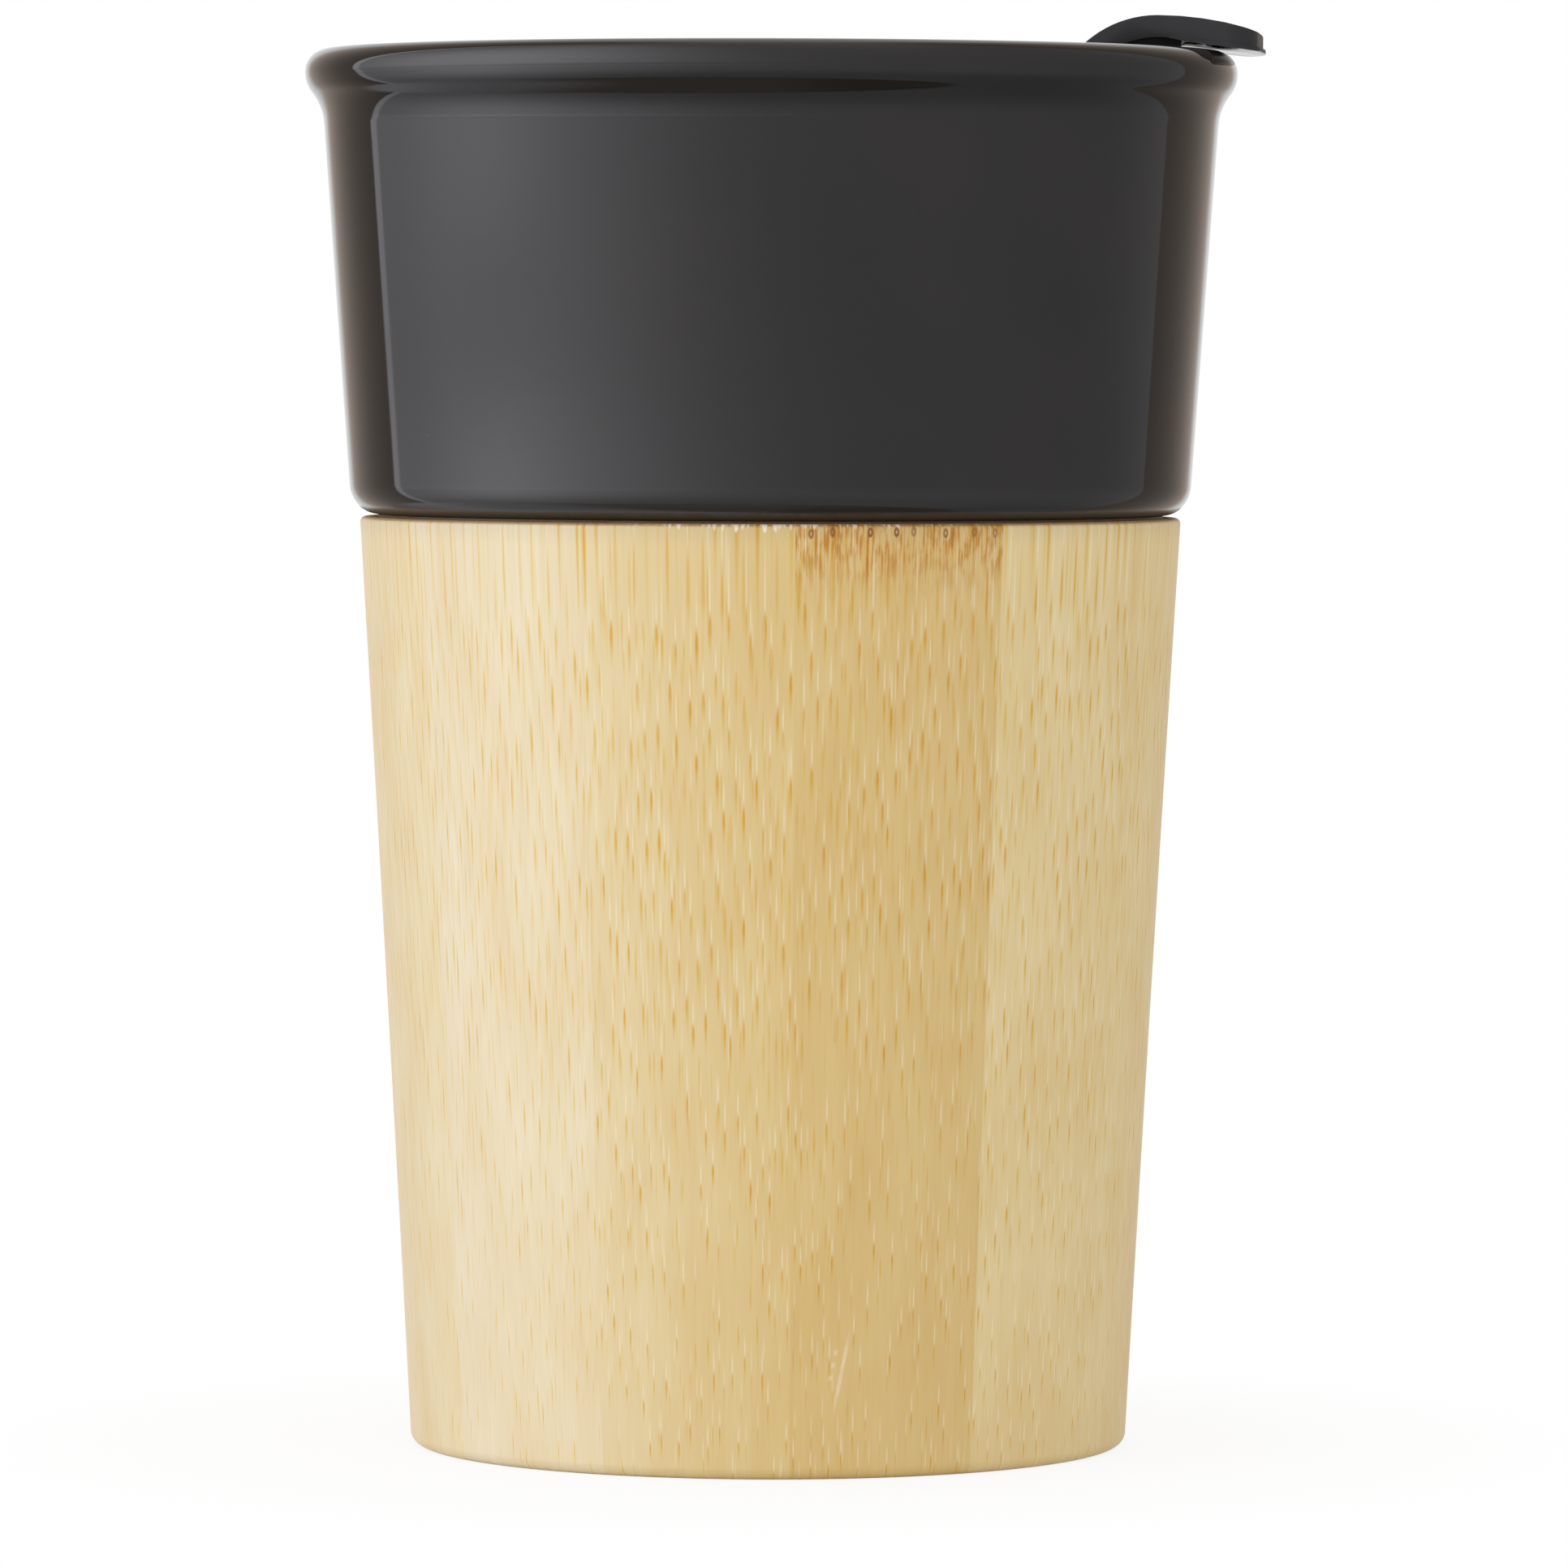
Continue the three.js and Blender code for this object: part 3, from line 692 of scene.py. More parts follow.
def bamboo_strip_finish():
    finish, wiring, shader = new_finish("bamboo_face", IOR=1.45)
    uv = wiring.split(wiring.node("ShaderNodeUVMap", uv_map=STRIP_UV).outputs["UV"])
    tone = wiring.node("ShaderNodeAttribute", attribute_name=STRIP_TONE).outputs
    facts = wiring.split(wiring.node("ShaderNodeAttribute", attribute_name=STRIP_FACTS).outputs["Vector"])
    across = wiring.times(uv["X"], strip_face)
    along = wiring.times(uv["Y"], sleeve_top)
    below = wiring.minus(sleeve_top, along)
    upper = wiring.larger(wiring.minus(along, sleeve_top - LONG_DASHES), 0.0)
    grain = wiring.join(across, wiring.minus(along, wiring.times(upper, 0.68)))
    growth = wiring.plus(wiring.span(along, 0.0, sleeve_top * 0.8, 0.62, 1.1),
                         wiring.span(along, sleeve_top - 14.0, sleeve_top - 4.0, 0.0, 0.25))
    face = wiring.group(BAMBOO, Vector=grain, Tone=tone["Color"], Flecks=facts["X"], Seed=facts["Y"],
                        Growth=growth)
    near_top = wiring.span(facts["Z"], sleeve_top - 4.0, sleeve_top - 2.0)
    planed = wiring.span(near_top, 0.0, 1.0, 0.5, 1.0)
    node = node_mark(wiring, across, along, facts["Z"])
    brown, pores = (wiring.times(mark, planed) for mark in node)

    def stain_or_painted_shade(colour, share, tint_colour):
        return wiring.mix(share, colour, wiring.tint(colour, tint_colour))

    colour = stain_or_painted_shade(face["Color"], brown, NODE_AMBER)
    colour = wiring.mix(pores, colour, PORE_BROWN)
    # Painted shade: the top 2.4 mm of each strip are tinted darker and cooler, for the shade under the
    # porcelain's overhanging shoulder.
    colour = stain_or_painted_shade(colour, wiring.fade(below, 0.0, 2.4), PAINTED_SHADE_UNDER_SHOULDER)
    colour = stain_or_painted_shade(colour, wiring.span(below, 0.05, 0.32, 0.85, 0.0), EDGE_AMBER)
    colour = wiring.mix(frayed_mark(wiring, across, below, tone["Alpha"]), colour, FRAYED)
    scratch = scratch_mark(wiring, across, along, SCRATCH_MIDDLE, SCRATCH_SLANT, SCRATCH_HALF)
    colour = wiring.mix(wiring.times(scratch, near_top), colour, SCUFFED)
    relief = wiring.minus(face["Height"], wiring.times(pores, 0.3))
    dress(wiring, shader, colour, face["Roughness"], bump(wiring, relief, FIBRE_DEPTH))
    return finish


BAMBOO_FACE = bamboo_strip_finish()
print("finish:", BAMBOO_FACE.name)

# %% [markdown]
# Where bamboo is cut across, the bundles show end on, as dark dots. That is seen on the ends of the strips.
# The board in the foot is planed from wider strips that lie side by side, so it uses the same face as the
# sleeve, in stripes of two tones. A thin bed of brown glue holds the porcelain on the strips.

# %% Finishes: bamboo end grain, foot board and glue
END_TONE = paint(214, 184, 128)
END_DOT = paint(140, 92, 44)
DOT_DEPTH = 3e-5
BOARD_LIGHT = paint(220, 196, 146)
BOARD_DARK = paint(204, 172, 112)
BOARD_STRIP = 16.0
BOARD_DEPTH = 1.5e-5
GLUE_DARK = paint(102, 77, 54)
GLUE_LIGHT = paint(138, 108, 79)


def bamboo_end_finish():
    finish, wiring, shader = new_finish("bamboo_end", IOR=1.45)
    place = wiring.place()
    cloud = wiring.mix(wiring.noise(place, 260.0, 3.0), (0.88, 0.85, 0.8, 1), (1.1, 1.12, 1.15, 1))
    dots = specks(wiring, place, 1250.0, 0.42, 0.85)
    colour = wiring.mix(wiring.times(dots, 0.75), wiring.tint(END_TONE, cloud), END_DOT)
    dress(wiring, shader, colour, wiring.span(dots, 0.0, 1.0, 0.6, 0.72), bump(wiring, dots, -DOT_DEPTH))
    return finish


def bamboo_board_finish():
    finish, wiring, shader = new_finish("bamboo_board", IOR=1.45)
    place = wiring.split(wiring.vector("MULTIPLY", wiring.place(), (1 / MM, 1 / MM, 1 / MM)))
    number = wiring.math("FLOOR", wiring.over(place["X"], BOARD_STRIP))
    tone = wiring.mix(wiring.chance(number), BOARD_LIGHT, BOARD_DARK)
    face = wiring.group(BAMBOO, Vector=wiring.join(place["X"], place["Y"]), Tone=tone, Flecks=0.8,
                        Growth=1.0, Seed=number)
    dress(wiring, shader, face["Color"], face["Roughness"], bump(wiring, face["Height"], BOARD_DEPTH))
    return finish


def glue_finish():
    finish, wiring, shader = new_finish("brown_glue", IOR=1.5)
    cloud = wiring.noise(wiring.place(), 420.0, 3.0)
    dress(wiring, shader, wiring.mix(cloud, GLUE_DARK, GLUE_LIGHT), wiring.span(cloud, 0.3, 0.7, 0.4, 0.6))
    return finish


BAMBOO_END = bamboo_end_finish()
BAMBOO_BOARD = bamboo_board_finish()
GLUE = glue_finish()
print("finishes:", BAMBOO_END.name, BAMBOO_BOARD.name, GLUE.name)

# %% [markdown]
# The lid and its cover are satin black mouldings. A spark-eroded mould leaves a skin of fine grain, which
# scatters the light, and handling adds dust and short scuffs. The tongue's underside comes off the polished
# half of its mould and shines. The soft seal and plug are duller and greyer and hold more dust. The hinge
# pin is drawn steel, with scratches that run along it.

# %% Finishes: mouldings, rubber and steel
MOULDING_BLACK = (0.0125, 0.0125, 0.0135, 1)
MOULDING_WORN = (0.0185, 0.0185, 0.0195, 1)
RUBBER_BLACK = (0.012, 0.012, 0.0122, 1)
RUBBER_BLOOM = (0.026, 0.026, 0.026, 1)
STEEL_DARK = (0.44, 0.45, 0.46, 1)
STEEL_LIGHT = (0.66, 0.67, 0.68, 1)
DUST = paint(150, 148, 146)
MOULDING_GRAIN = 1.3e-5
RUBBER_GRAIN = 1.6e-5
STEEL_GRAIN = 2e-6


def black_moulding():
    finish, wiring, shader = new_finish("satin_black_moulding", IOR=1.47)
    place = wiring.place()
    cloud = wiring.span(wiring.noise(place, 90.0, 3.0), 0.35, 0.8)
    colour = wiring.mix(cloud, MOULDING_BLACK, MOULDING_WORN)
    dust = specks(wiring, place, 800.0, 0.16, 0.25)
    scratched = wiring.vector("MULTIPLY", place, (900.0, 5200.0, 5200.0))
    scuffs = wiring.span(wiring.noise(scratched, 1.0, 2.0), 0.66, 0.8)
    patches = wiring.span(wiring.noise(place, 110.0, 2.0), 0.5, 0.7)
    marks = wiring.plus(wiring.times(dust, 0.4), wiring.times(scuffs, patches, 0.22))
    skin = bump(wiring, wiring.noise(place, 5200.0, 2.0), MOULDING_GRAIN)
    dress(wiring, shader, wiring.mix(marks, colour, DUST), gloss(wiring, place, 140.0, 0.4, 0.52), skin)
    return finish


def polished_moulding():
    finish, wiring, shader = new_finish("polished_black_moulding", IOR=1.47)
    place = wiring.place()
    dust = wiring.times(specks(wiring, place, 700.0, 0.14, 0.2), 0.25)
    dress(wiring, shader, wiring.mix(dust, MOULDING_BLACK, DUST), gloss(wiring, place, 140.0, 0.1, 0.2))
    return finish


def black_rubber():
    finish, wiring, shader = new_finish("soft_black_rubber", IOR=1.42)
    place = wiring.place()
    dust = wiring.times(specks(wiring, place, 620.0, 0.2, 0.4), 0.3)
    bloom = wiring.span(wiring.noise(place, 210.0, 4.0), 0.4, 0.8)
    colour = wiring.mix(bloom, RUBBER_BLACK, RUBBER_BLOOM)
    skin = bump(wiring, wiring.noise(place, 3800.0, 3.0), RUBBER_GRAIN)
    dress(wiring, shader, wiring.mix(dust, colour, DUST), gloss(wiring, place, 180.0, 0.62, 0.8), skin)
    return finish


def pin_steel():
    finish, wiring, shader = new_finish("drawn_steel", Metallic=1.0)
    lines = wiring.noise(wiring.vector("MULTIPLY", wiring.place(), (9000.0, 260.0, 9000.0)), 1.0, 3.0)
    colour = wiring.mix(lines, STEEL_DARK, STEEL_LIGHT)
    dress(wiring, shader, colour, wiring.span(lines, 0.3, 0.7, 0.18, 0.34), bump(wiring, lines, STEEL_GRAIN))
    return finish


MOULDING = black_moulding()
POLISHED = polished_moulding()
RUBBER = black_rubber()
STEEL = pin_steel()
print("finishes:", MOULDING.name, POLISHED.name, RUBBER.name, STEEL.name)

# %% [markdown]
# The sleeve was a tube, glued from twelve strips and turned to a taper, with a rounded foot and a barely
# broken top edge. It could be one spin with the joints drawn on, but the strips are separate pieces with
# separate grain. So one closed outline is spun through 30 degrees, less a hair for the glue, and its two
# ends are filled. A low bed of glue lies on the top edge, behind a small wall of glue, and meets the
# porcelain. A strip's look is its tone at the left and right edge, how frayed its top is there, how strong
# its dashes are there, and the height of its node, if it has one. The UV map runs from 0 to 1 across and
# along the strip.

# %% Pieces: twelve bamboo strips
strip_turn = 3.4
strip_wall = 4.2
glue_seam = 0.004
foot_round = 1.2
top_round = 0.5
bed_radius = 36.25
bed_height = 0.07
bed_rise = 0.2
bed_slope = 0.35
STRIP_STEPS = 10
FACE_STEPS = 20
END_FACING = 0.93
GLUE_SLOT = 2
TONE_CURVE = 0.7
NO_NODE = -50.0
STRIP_LOOKS = [
    ((220, 191, 128), (218, 189, 127), (0.55, 0.2), (0.88, 0.85), sleeve_top - 0.75),
    ((227, 204, 151), (226, 203, 151), (0.0, 0.0), (0.93, 0.90), NO_NODE),
    ((227, 205, 153), (226, 202, 152), (0.0, 0.1), (0.82, 0.80), NO_NODE),
    ((232, 214, 172), (229, 207, 160), (0.1, 0.3), (0.60, 0.66), NO_NODE),
    ((216, 188, 130), (222, 196, 142), (0.3, 0.0), (0.95, 0.85), NO_NODE),
    ((227, 204, 155), (223, 198, 149), (0.0, 0.0), (0.80, 0.75), 31.0),
    ((235, 217, 176), (232, 212, 169), (0.0, 0.2), (0.55, 0.60), NO_NODE),
    ((220, 194, 139), (226, 201, 150), (0.2, 0.4), (0.90, 0.80), NO_NODE),
    ((230, 208, 161), (226, 203, 154), (0.3, 0.0), (0.65, 0.70), 58.0),
    ((234, 216, 180), (234, 217, 179), (0.0, 0.0), (0.72, 0.70), NO_NODE),
    ((234, 219, 189), (231, 214, 177), (0.0, 0.0), (0.71, 0.78), NO_NODE),
    # The twelfth strip's darker right-edge tone is partly its own colour and partly painted shade: the fall
    # of light across it, read into the tone.
    ((229, 210, 168), (222, 195, 134), (0.0, 0.7), (0.88, 1.00), NO_NODE),
]


def bore_radius(z):
    return sleeve_foot_radius + (sleeve_top_radius - sleeve_foot_radius) * z / sleeve_top - strip_wall


def sleeve_radius(z):
    """The outside, which is turned a hair hollow between its ends."""
    share = z / sleeve_top
    return bore_radius(z) + strip_wall - sleeve_hollow * 4 * share * (1 - share)


def strip_outline():
    edge = sleeve_top - top_round
    foot = sleeve_radius(foot_round) - foot_round
    pen = Pen(bore_radius(0), 0)
    pen.line(foot, 0).arc(foot, foot_round, 90)
    for step in range(1, FACE_STEPS + 1):
        height = foot_round + (edge - foot_round) * step / FACE_STEPS
        pen.line(sleeve_radius(height), height)
    pen.arc(sleeve_radius(edge) - top_round, edge, 90)
    pen.line(bed_radius, sleeve_top).line(bed_radius, sleeve_top + bed_rise)
    pen.line(bed_radius - bed_slope, sleeve_top + bed_height)
    pen.line(bore_radius(sleeve_top), sleeve_top + bed_height).line(bore_radius(0), 0)
    return pen.outline()


def strip_mesh(start):
    """One strip, from a start angle counted from the front towards +X."""
    bm = strip_outline()
    seam = math.degrees(glue_seam / sleeve_top_radius)
    bmesh.ops.rotate(bm, matrix=Matrix.Rotation(math.radians(start + seam / 2 - 90), 3, "Z"), verts=bm.verts)
    bmesh.ops.spin(bm, geom=bm.verts[:] + bm.edges[:], cent=(0, 0, 0), axis=(0, 0, 1),
                   angle=math.radians(STRIP_DEGREES - seam), steps=STRIP_STEPS)
    bmesh.ops.holes_fill(bm, edges=[edge for edge in bm.edges if edge.is_boundary])
    bmesh.ops.recalc_face_normals(bm, faces=bm.faces)
    return bm


def mark_strip(bm, middle, look, seed):
    """Gives a strip its UV map, its tone and facts from side to side, and end grain on its ends."""
    left_tone, right_tone, worn, flecks, node_height = look
    uv = bm.loops.layers.uv.new(STRIP_UV)
    tones = bm.verts.layers.float_color.new(STRIP_TONE)
    facts = bm.verts.layers.float_vector.new(STRIP_FACTS)

    def share_across(vert):
        angle = math.degrees(math.atan2(vert.co.x, -vert.co.y))
        return ((angle - middle + 180) % 360 - 180) / STRIP_DEGREES + 0.5

    left = Vector((*paint(*left_tone)[:3], worn[0]))
    right = Vector((*paint(*right_tone)[:3], worn[1]))
    left_facts = Vector((flecks[0], seed, node_height))
    right_facts = Vector((flecks[1], seed, node_height))
    for vert in bm.verts:
        share = share_across(vert)
        vert[tones] = left.lerp(right, max(share, 0.0) ** TONE_CURVE)
        vert[facts] = left_facts.lerp(right_facts, share)
    for face in bm.faces:
        face.material_index = int(abs(face.normal.z) > END_FACING)
        if face.calc_center_median().z > sleeve_top + WELD:
            face.material_index = GLUE_SLOT
        for loop in face.loops:
            loop[uv].uv = (share_across(loop.vert), loop.vert.co.z / sleeve_top)


for index, look in enumerate(STRIP_LOOKS):
    start = strip_turn + index * STRIP_DEGREES
    strip = strip_mesh(start)
    mark_strip(strip, start + STRIP_DEGREES / 2, look, index + 1)
    number = f"{index + 1:02d}"
    add_piece("bamboo_stave_" + number, strip, [BAMBOO_FACE, BAMBOO_END, GLUE], "cup",
              "bamboo_strip_" + number)

# %% [markdown]
# A disc of bamboo board closes the foot of the sleeve and carries the cup. It is a plain turned piece with
# eased edges, and it lies a hair inside the bore.

# %% Piece: foot board
board_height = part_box("base_disc")[1].z / MM
board_fit = 0.3
board_edge = 0.5
board = Pen(0, 0)
board.line(bore_radius(0) - board_fit, 0, ease=board_edge)
board.line(bore_radius(board_height) - board_fit, board_height, ease=board_edge).line(0, board_height)
add_piece("bamboo_foot_board", turned(board), [BAMBOO_BOARD], "cup", "base_disc")

# %% [markdown]
# The cup is one piece of porcelain. Its outline runs from under the foot ring, up the hidden lower body,
# out along the seat that rests on the sleeve, past a fine gap, round the shoulder, up the band, through the
# hollow under the lip, over the rolled bead, which is fuller below than above, down the flare inside and to
# the floor. The hollow touches both the wall and the bead, so its centre is worked out from them. The long
# band is drawn in short parts, the shortest beside the curves, because a mirror finish shows the least error
# where a straight wall runs into a curve.

# %% Sizes of the porcelain
rim = cup_high.z / MM
seat = sleeve_top + 0.1
lip_radius = 43.0
bead_round = 2.1
bead_under = 3.1
bead_centre = lip_radius - bead_round
bead_height = rim - bead_round
lip_overhang = 1.42
hollow_round = 5.2
flare_depth = 4.15
shoulder_radius = sleeve_top_radius + 0.76
shoulder_rise = 2.9
shoulder_reach = 2.6
shoulder_gap = 0.15
band_guard = 0.08
porcelain_wall = 3.3
sleeve_bond = 0.4
flare_height = rim - flare_depth
band_lean = (lip_radius - lip_overhang - shoulder_radius) / (bead_height - seat)
band_angle = math.atan(band_lean)


def band_radius(z):
    return shoulder_radius + band_lean * (z - seat)


def mouth_radius(z):
    return band_radius(z) - porcelain_wall


def body_radius(z):
    return bore_radius(z) - sleeve_bond


flare_width = bead_centre - mouth_radius(flare_height)
print("lip", 2 * lip_radius, "mm across,", round(rim, 2), "mm high")

# %% Piece: porcelain cup
foot = cup_low.z / MM
foot_ring = 4.5
foot_recess = 1.2
floor_thickness = 4.0
floor_round = 7.0
foot_ease = 0.5
ring_ease = 1.0
step_rise = 12.0
step_drop = 3.0
BODY_PARTS = 8
BAND_PARTS = 12
BORE_PARTS = 16
FLOOR_PARTS = 4


def draw_outside(pen):
    ring = body_radius(foot)
    pen.line(ring - foot_ring - foot_recess, foot + foot_recess, ease=foot_ease)
    pen.line(ring - foot_ring, foot, ease=foot_ease)
    pen.line(ring, foot, ease=ring_ease).line(body_radius(seat), seat, parts=BODY_PARTS)
    middle = seat + shoulder_gap + shoulder_rise
    squeeze = shoulder_reach / shoulder_rise
    touch = math.atan(band_lean / squeeze)
    centre = band_radius(middle - shoulder_rise * math.sin(touch)) - shoulder_reach * math.cos(touch)
    pen.line(centre - shoulder_gap, seat).line(centre, seat + shoulder_gap)
    pen.arc(centre, middle, 90 - math.degrees(touch), squeeze)


def draw_lip(pen):
    along = Vector((math.sin(band_angle), 0, math.cos(band_angle)))
    outward = Vector((along.z, 0, -along.x))
    wall = Vector((band_radius(bead_height), 0, bead_height))
    bead = Vector((lip_radius - bead_under, 0, bead_height))
    offset = bead - wall
    sideways = hollow_round - offset.dot(outward)
    drop = offset.dot(along) - math.sqrt((hollow_round + bead_under) ** 2 - sideways ** 2)
    hollow = wall + along * drop + outward * hollow_round
    touch = wall + along * drop
    low = pen.tip.co + along * band_guard
    high = touch - along * band_guard
    pen.line(low.x, low.z).line(high.x, high.z, parts=BAND_PARTS).line(touch.x, touch.z)
    toward = math.degrees(math.atan2(bead.z - hollow.z, bead.x - hollow.x))
    pen.arc(hollow.x, hollow.z, toward - 180 + math.degrees(band_angle))
    pen.arc(bead.x, bead.z, 180 - toward)
    pen.arc(bead_centre, bead_height, 90)
    pen.arc(bead_centre, flare_height, 90, squeeze=flare_width / flare_depth)


def draw_inside(pen):
    top = seat + step_rise
    bottom = seat - step_drop
    wall_angle = math.degrees(math.atan((sleeve_top_radius - sleeve_foot_radius) / sleeve_top))
    slope = math.radians(wall_angle)
    pen.line(mouth_radius(top), top, parts=BAND_PARTS)
    inset = mouth_radius(top) - (body_radius(bottom) - porcelain_wall)
    bend = 2 * math.atan(inset / (top - bottom)) - band_angle
    first = (top - bottom) / 2 / math.sin(bend)
    start = math.degrees(band_angle)
    reach = Vector((math.cos(band_angle), -math.sin(band_angle))) * first
    centre = Vector((mouth_radius(top), top)) - reach
    pen.arc(centre.x, centre.y, -math.degrees(bend))
    tilt = band_angle + bend
    second = Vector((pen.tip.co.x, pen.tip.co.z)) + Vector((math.cos(tilt), -math.sin(tilt))) * first
    pen.arc(second.x, second.y, math.degrees(bend) + start - wall_angle)
    floor = foot + floor_thickness
    corner = floor + floor_round
    inner = body_radius(corner) - porcelain_wall
    centre_x = inner - floor_round / math.cos(slope)
    pen.line(centre_x + floor_round * math.cos(slope), corner - floor_round * math.sin(slope),
             parts=BORE_PARTS)
    pen.arc(centre_x, corner, wall_angle - 90)
    pen.line(0, floor, parts=FLOOR_PARTS)


cup_pen = Pen(0, foot + foot_recess)
draw_outside(cup_pen)
draw_lip(cup_pen)
draw_inside(cup_pen)
add_piece("glazed_porcelain_cup", turned(cup_pen), [GLAZE], "cup", "porcelain_cup")

# %% [markdown]
# The lid is a turned dish: a deck, a flared wall that lies inside the flare of the lip, and a skirt with a
# groove for the seal. Two ears for the hinge are joined on, and the sip slot, the vent and the pin hole
# are cut out, as the mould's cores do.

# %% Sizes of the lid
lid_clearance = 0.4
lid_wall = 1.8
deck_top = rim - 5.75
deck_bottom = deck_top - 2.0
skirt_bottom = deck_top - 9.5
skirt_wall = 2.8
groove_low = skirt_bottom + 2.0
groove_high = groove_low + 3.0
groove_depth = 1.3
lid_top = rim - 0.35
lid_rim_face = 0.5
deck_round = 1.2
deck_ease = 1.0
skirt_ease = 0.6
groove_ease = 0.2
groove_floor_ease = 0.3
rim_outer_ease = 0.35
rim_inner_ease = 0.5
cover_thickness = 2.02
strap_bottom = deck_top + 0.3
strap_top = strap_bottom + cover_thickness
hinge_x = 8.0
knuckle_radius = 2.2
hinge_z = strap_bottom + knuckle_radius
knuckle_length = 11.0
ear_thickness = 2.5
ear_gap = 0.3
ear_root = 1.0
ear_middle = knuckle_length / 2 + ear_gap + ear_thickness / 2
pin_radius = 0.9
pin_gap = 0.1
pin_hole = pin_radius + pin_gap
arch_radius = 9.9
arch_inner = arch_radius - cover_thickness
arch_x = lip_radius - 7.81
cover_top = rim + 3.05
arch_z = cover_top - arch_radius
sip_width = 5.0
sip_length = 16.0
sip_inset = 1.3
sip_x = arch_x - arch_inner + sip_inset + sip_width / 2
vent_x = -22.0
vent_radius = 1.0
small_round = 0.3
cut_over = 1.0
print("deck at", round(deck_top, 2), "mm, hinge at", (hinge_x, round(hinge_z, 2)), "slot at", round(sip_x, 2))

# %% Piece: lid


def lid_radius(z):
    return mouth_radius(z) - lid_clearance


def slot_plan(width, length):
    """A slot with round ends across the lid, as a closed plan."""
    end = width / 2
    straight = length / 2 - end
    pen = Pen(sip_x + end, straight)
    pen.arc(sip_x, straight, 180).line(sip_x - end, -straight).arc(sip_x, -straight, 180)
    return pen.line(sip_x + end, straight)


def round_plan(x, radius):
    return Pen(x + radius, 0).arc(x, 0, 360)


def lid_dish():
    floor = lid_radius(groove_low) - groove_depth
    inside = lid_radius(deck_top) - lid_wall
    pen = Pen(0, deck_bottom)
    pen.line(lid_radius(deck_bottom) - skirt_wall, deck_bottom, ease=deck_ease)
    pen.line(lid_radius(skirt_bottom) - skirt_wall, skirt_bottom, ease=skirt_ease)
    pen.line(lid_radius(skirt_bottom), skirt_bottom, ease=skirt_ease)
    pen.line(lid_radius(groove_low), groove_low, ease=groove_ease)
    pen.line(floor, groove_low, ease=groove_floor_ease).line(floor, groove_high, ease=groove_floor_ease)
    pen.line(lid_radius(groove_high), groove_high, ease=groove_ease)
    reach = flare_width + lid_clearance
    rise = flare_depth + lid_clearance
    pen.line(bead_centre - reach, flare_height)
    turn = math.degrees(math.asin((lid_top - lid_rim_face - flare_height) / rise))
    pen.arc(bead_centre, flare_height, -turn, squeeze=reach / rise)
    pen.line(pen.tip.co.x, lid_top, ease=rim_outer_ease).line(inside, lid_top, ease=rim_inner_ease)
    pen.line(inside, deck_top + deck_round).arc(inside - deck_round, deck_top + deck_round, -90)
    return turned(pen.line(0, deck_top))


def hinge_ear(middle):
    low = deck_top - ear_root
    pen = Pen(hinge_x - knuckle_radius, low).line(hinge_x + knuckle_radius, low)
    pen.line(hinge_x + knuckle_radius, hinge_z).arc(hinge_x, hinge_z, 180)
    return bevelled(sawn(pen.line(hinge_x - knuckle_radius, low), ear_thickness, middle), small_round)


lid = combined("UNION", lid_dish(), hinge_ear(ear_middle), hinge_ear(-ear_middle))
lid = combined("DIFFERENCE", lid, rod(pin_hole, 2 * (ear_middle + ear_thickness), hinge_x, hinge_z),
               upright(slot_plan(sip_width, sip_length), deck_bottom - cut_over, deck_top + cut_over),
               upright(round_plan(vent_x, vent_radius), deck_bottom - cut_over, deck_top + cut_over))
add_piece("lid_dish", lid, [MOULDING], "lid", "lid_body")

# %% [markdown]
# The seal is a soft ring with two ribs that press on the porcelain. Its section is drawn with squeezed
# arcs for the ribs and turned.

# %% Piece: lid seal
seal_gap = 0.15
seal_rib = 0.45
seal_low = groove_low + seal_gap
seal_high = groove_high - seal_gap
seal_inner = lid_radius(groove_low) - groove_depth + seal_gap
rib_half = (seal_high - seal_low) / 4


def seal_face(z):
    return mouth_radius(z) - seal_gap - seal_rib


seal = Pen(seal_inner, seal_low)
for middle in (seal_low + rib_half, seal_high - rib_half):
    seal.line(seal_face(middle), middle - rib_half)
    seal.arc(seal_face(middle), middle, 180, squeeze=seal_rib / rib_half)
seal.line(seal_inner, seal_high).line(seal_inner, seal_low)
add_piece("lid_seal_ring", turned(seal), [RUBBER], "seal", "lid_seal")

# %% [markdown]
# The flip cover is one moulding: a knuckle on the hinge, a strap along the deck, an arch that climbs over
# the lip and a tongue whose tip a finger lifts. Its side view is sawn out and cut to its plan, as a band
# saw cuts a block from two sides. Round the tongue's lower edge the mould leaves a thin lip that flares
# out, so a second, thinner slice of a larger plan is joined on after the edges are rounded.

# %% Sizes of the flip cover
cover_half = 11.0
crown_radius = 30.0
tip_radius = lip_radius + 2.3
tip_corner = 3.0
tip_fall = 0.55
lip_gap = 0.25
root_fillet = 2.5
web_reach = 2.4
flash_thickness = 0.34
flash_reach = 0.24
flash_start = arch_x + 1.0
edge_round = 0.32
knuckle_round = 0.25
neck_start = hinge_x - 1.0
neck_end = hinge_x + knuckle_radius + 0.6
neck_half = knuckle_length / 2
strap_ease = 1.0
web_ease = 0.6
saw_spare = 4.0
plug_gap = 0.3
plug_wall = 0.9
plug_end = deck_bottom + 0.4
blade_gap = 0.2
blade_half = sip_width / 2 - plug_gap - plug_wall - blade_gap
blade_length = sip_length - sip_width - 2 * blade_gap
UNDERSIDE_FACING = -0.6
UNDERSIDE_PARTS = 12


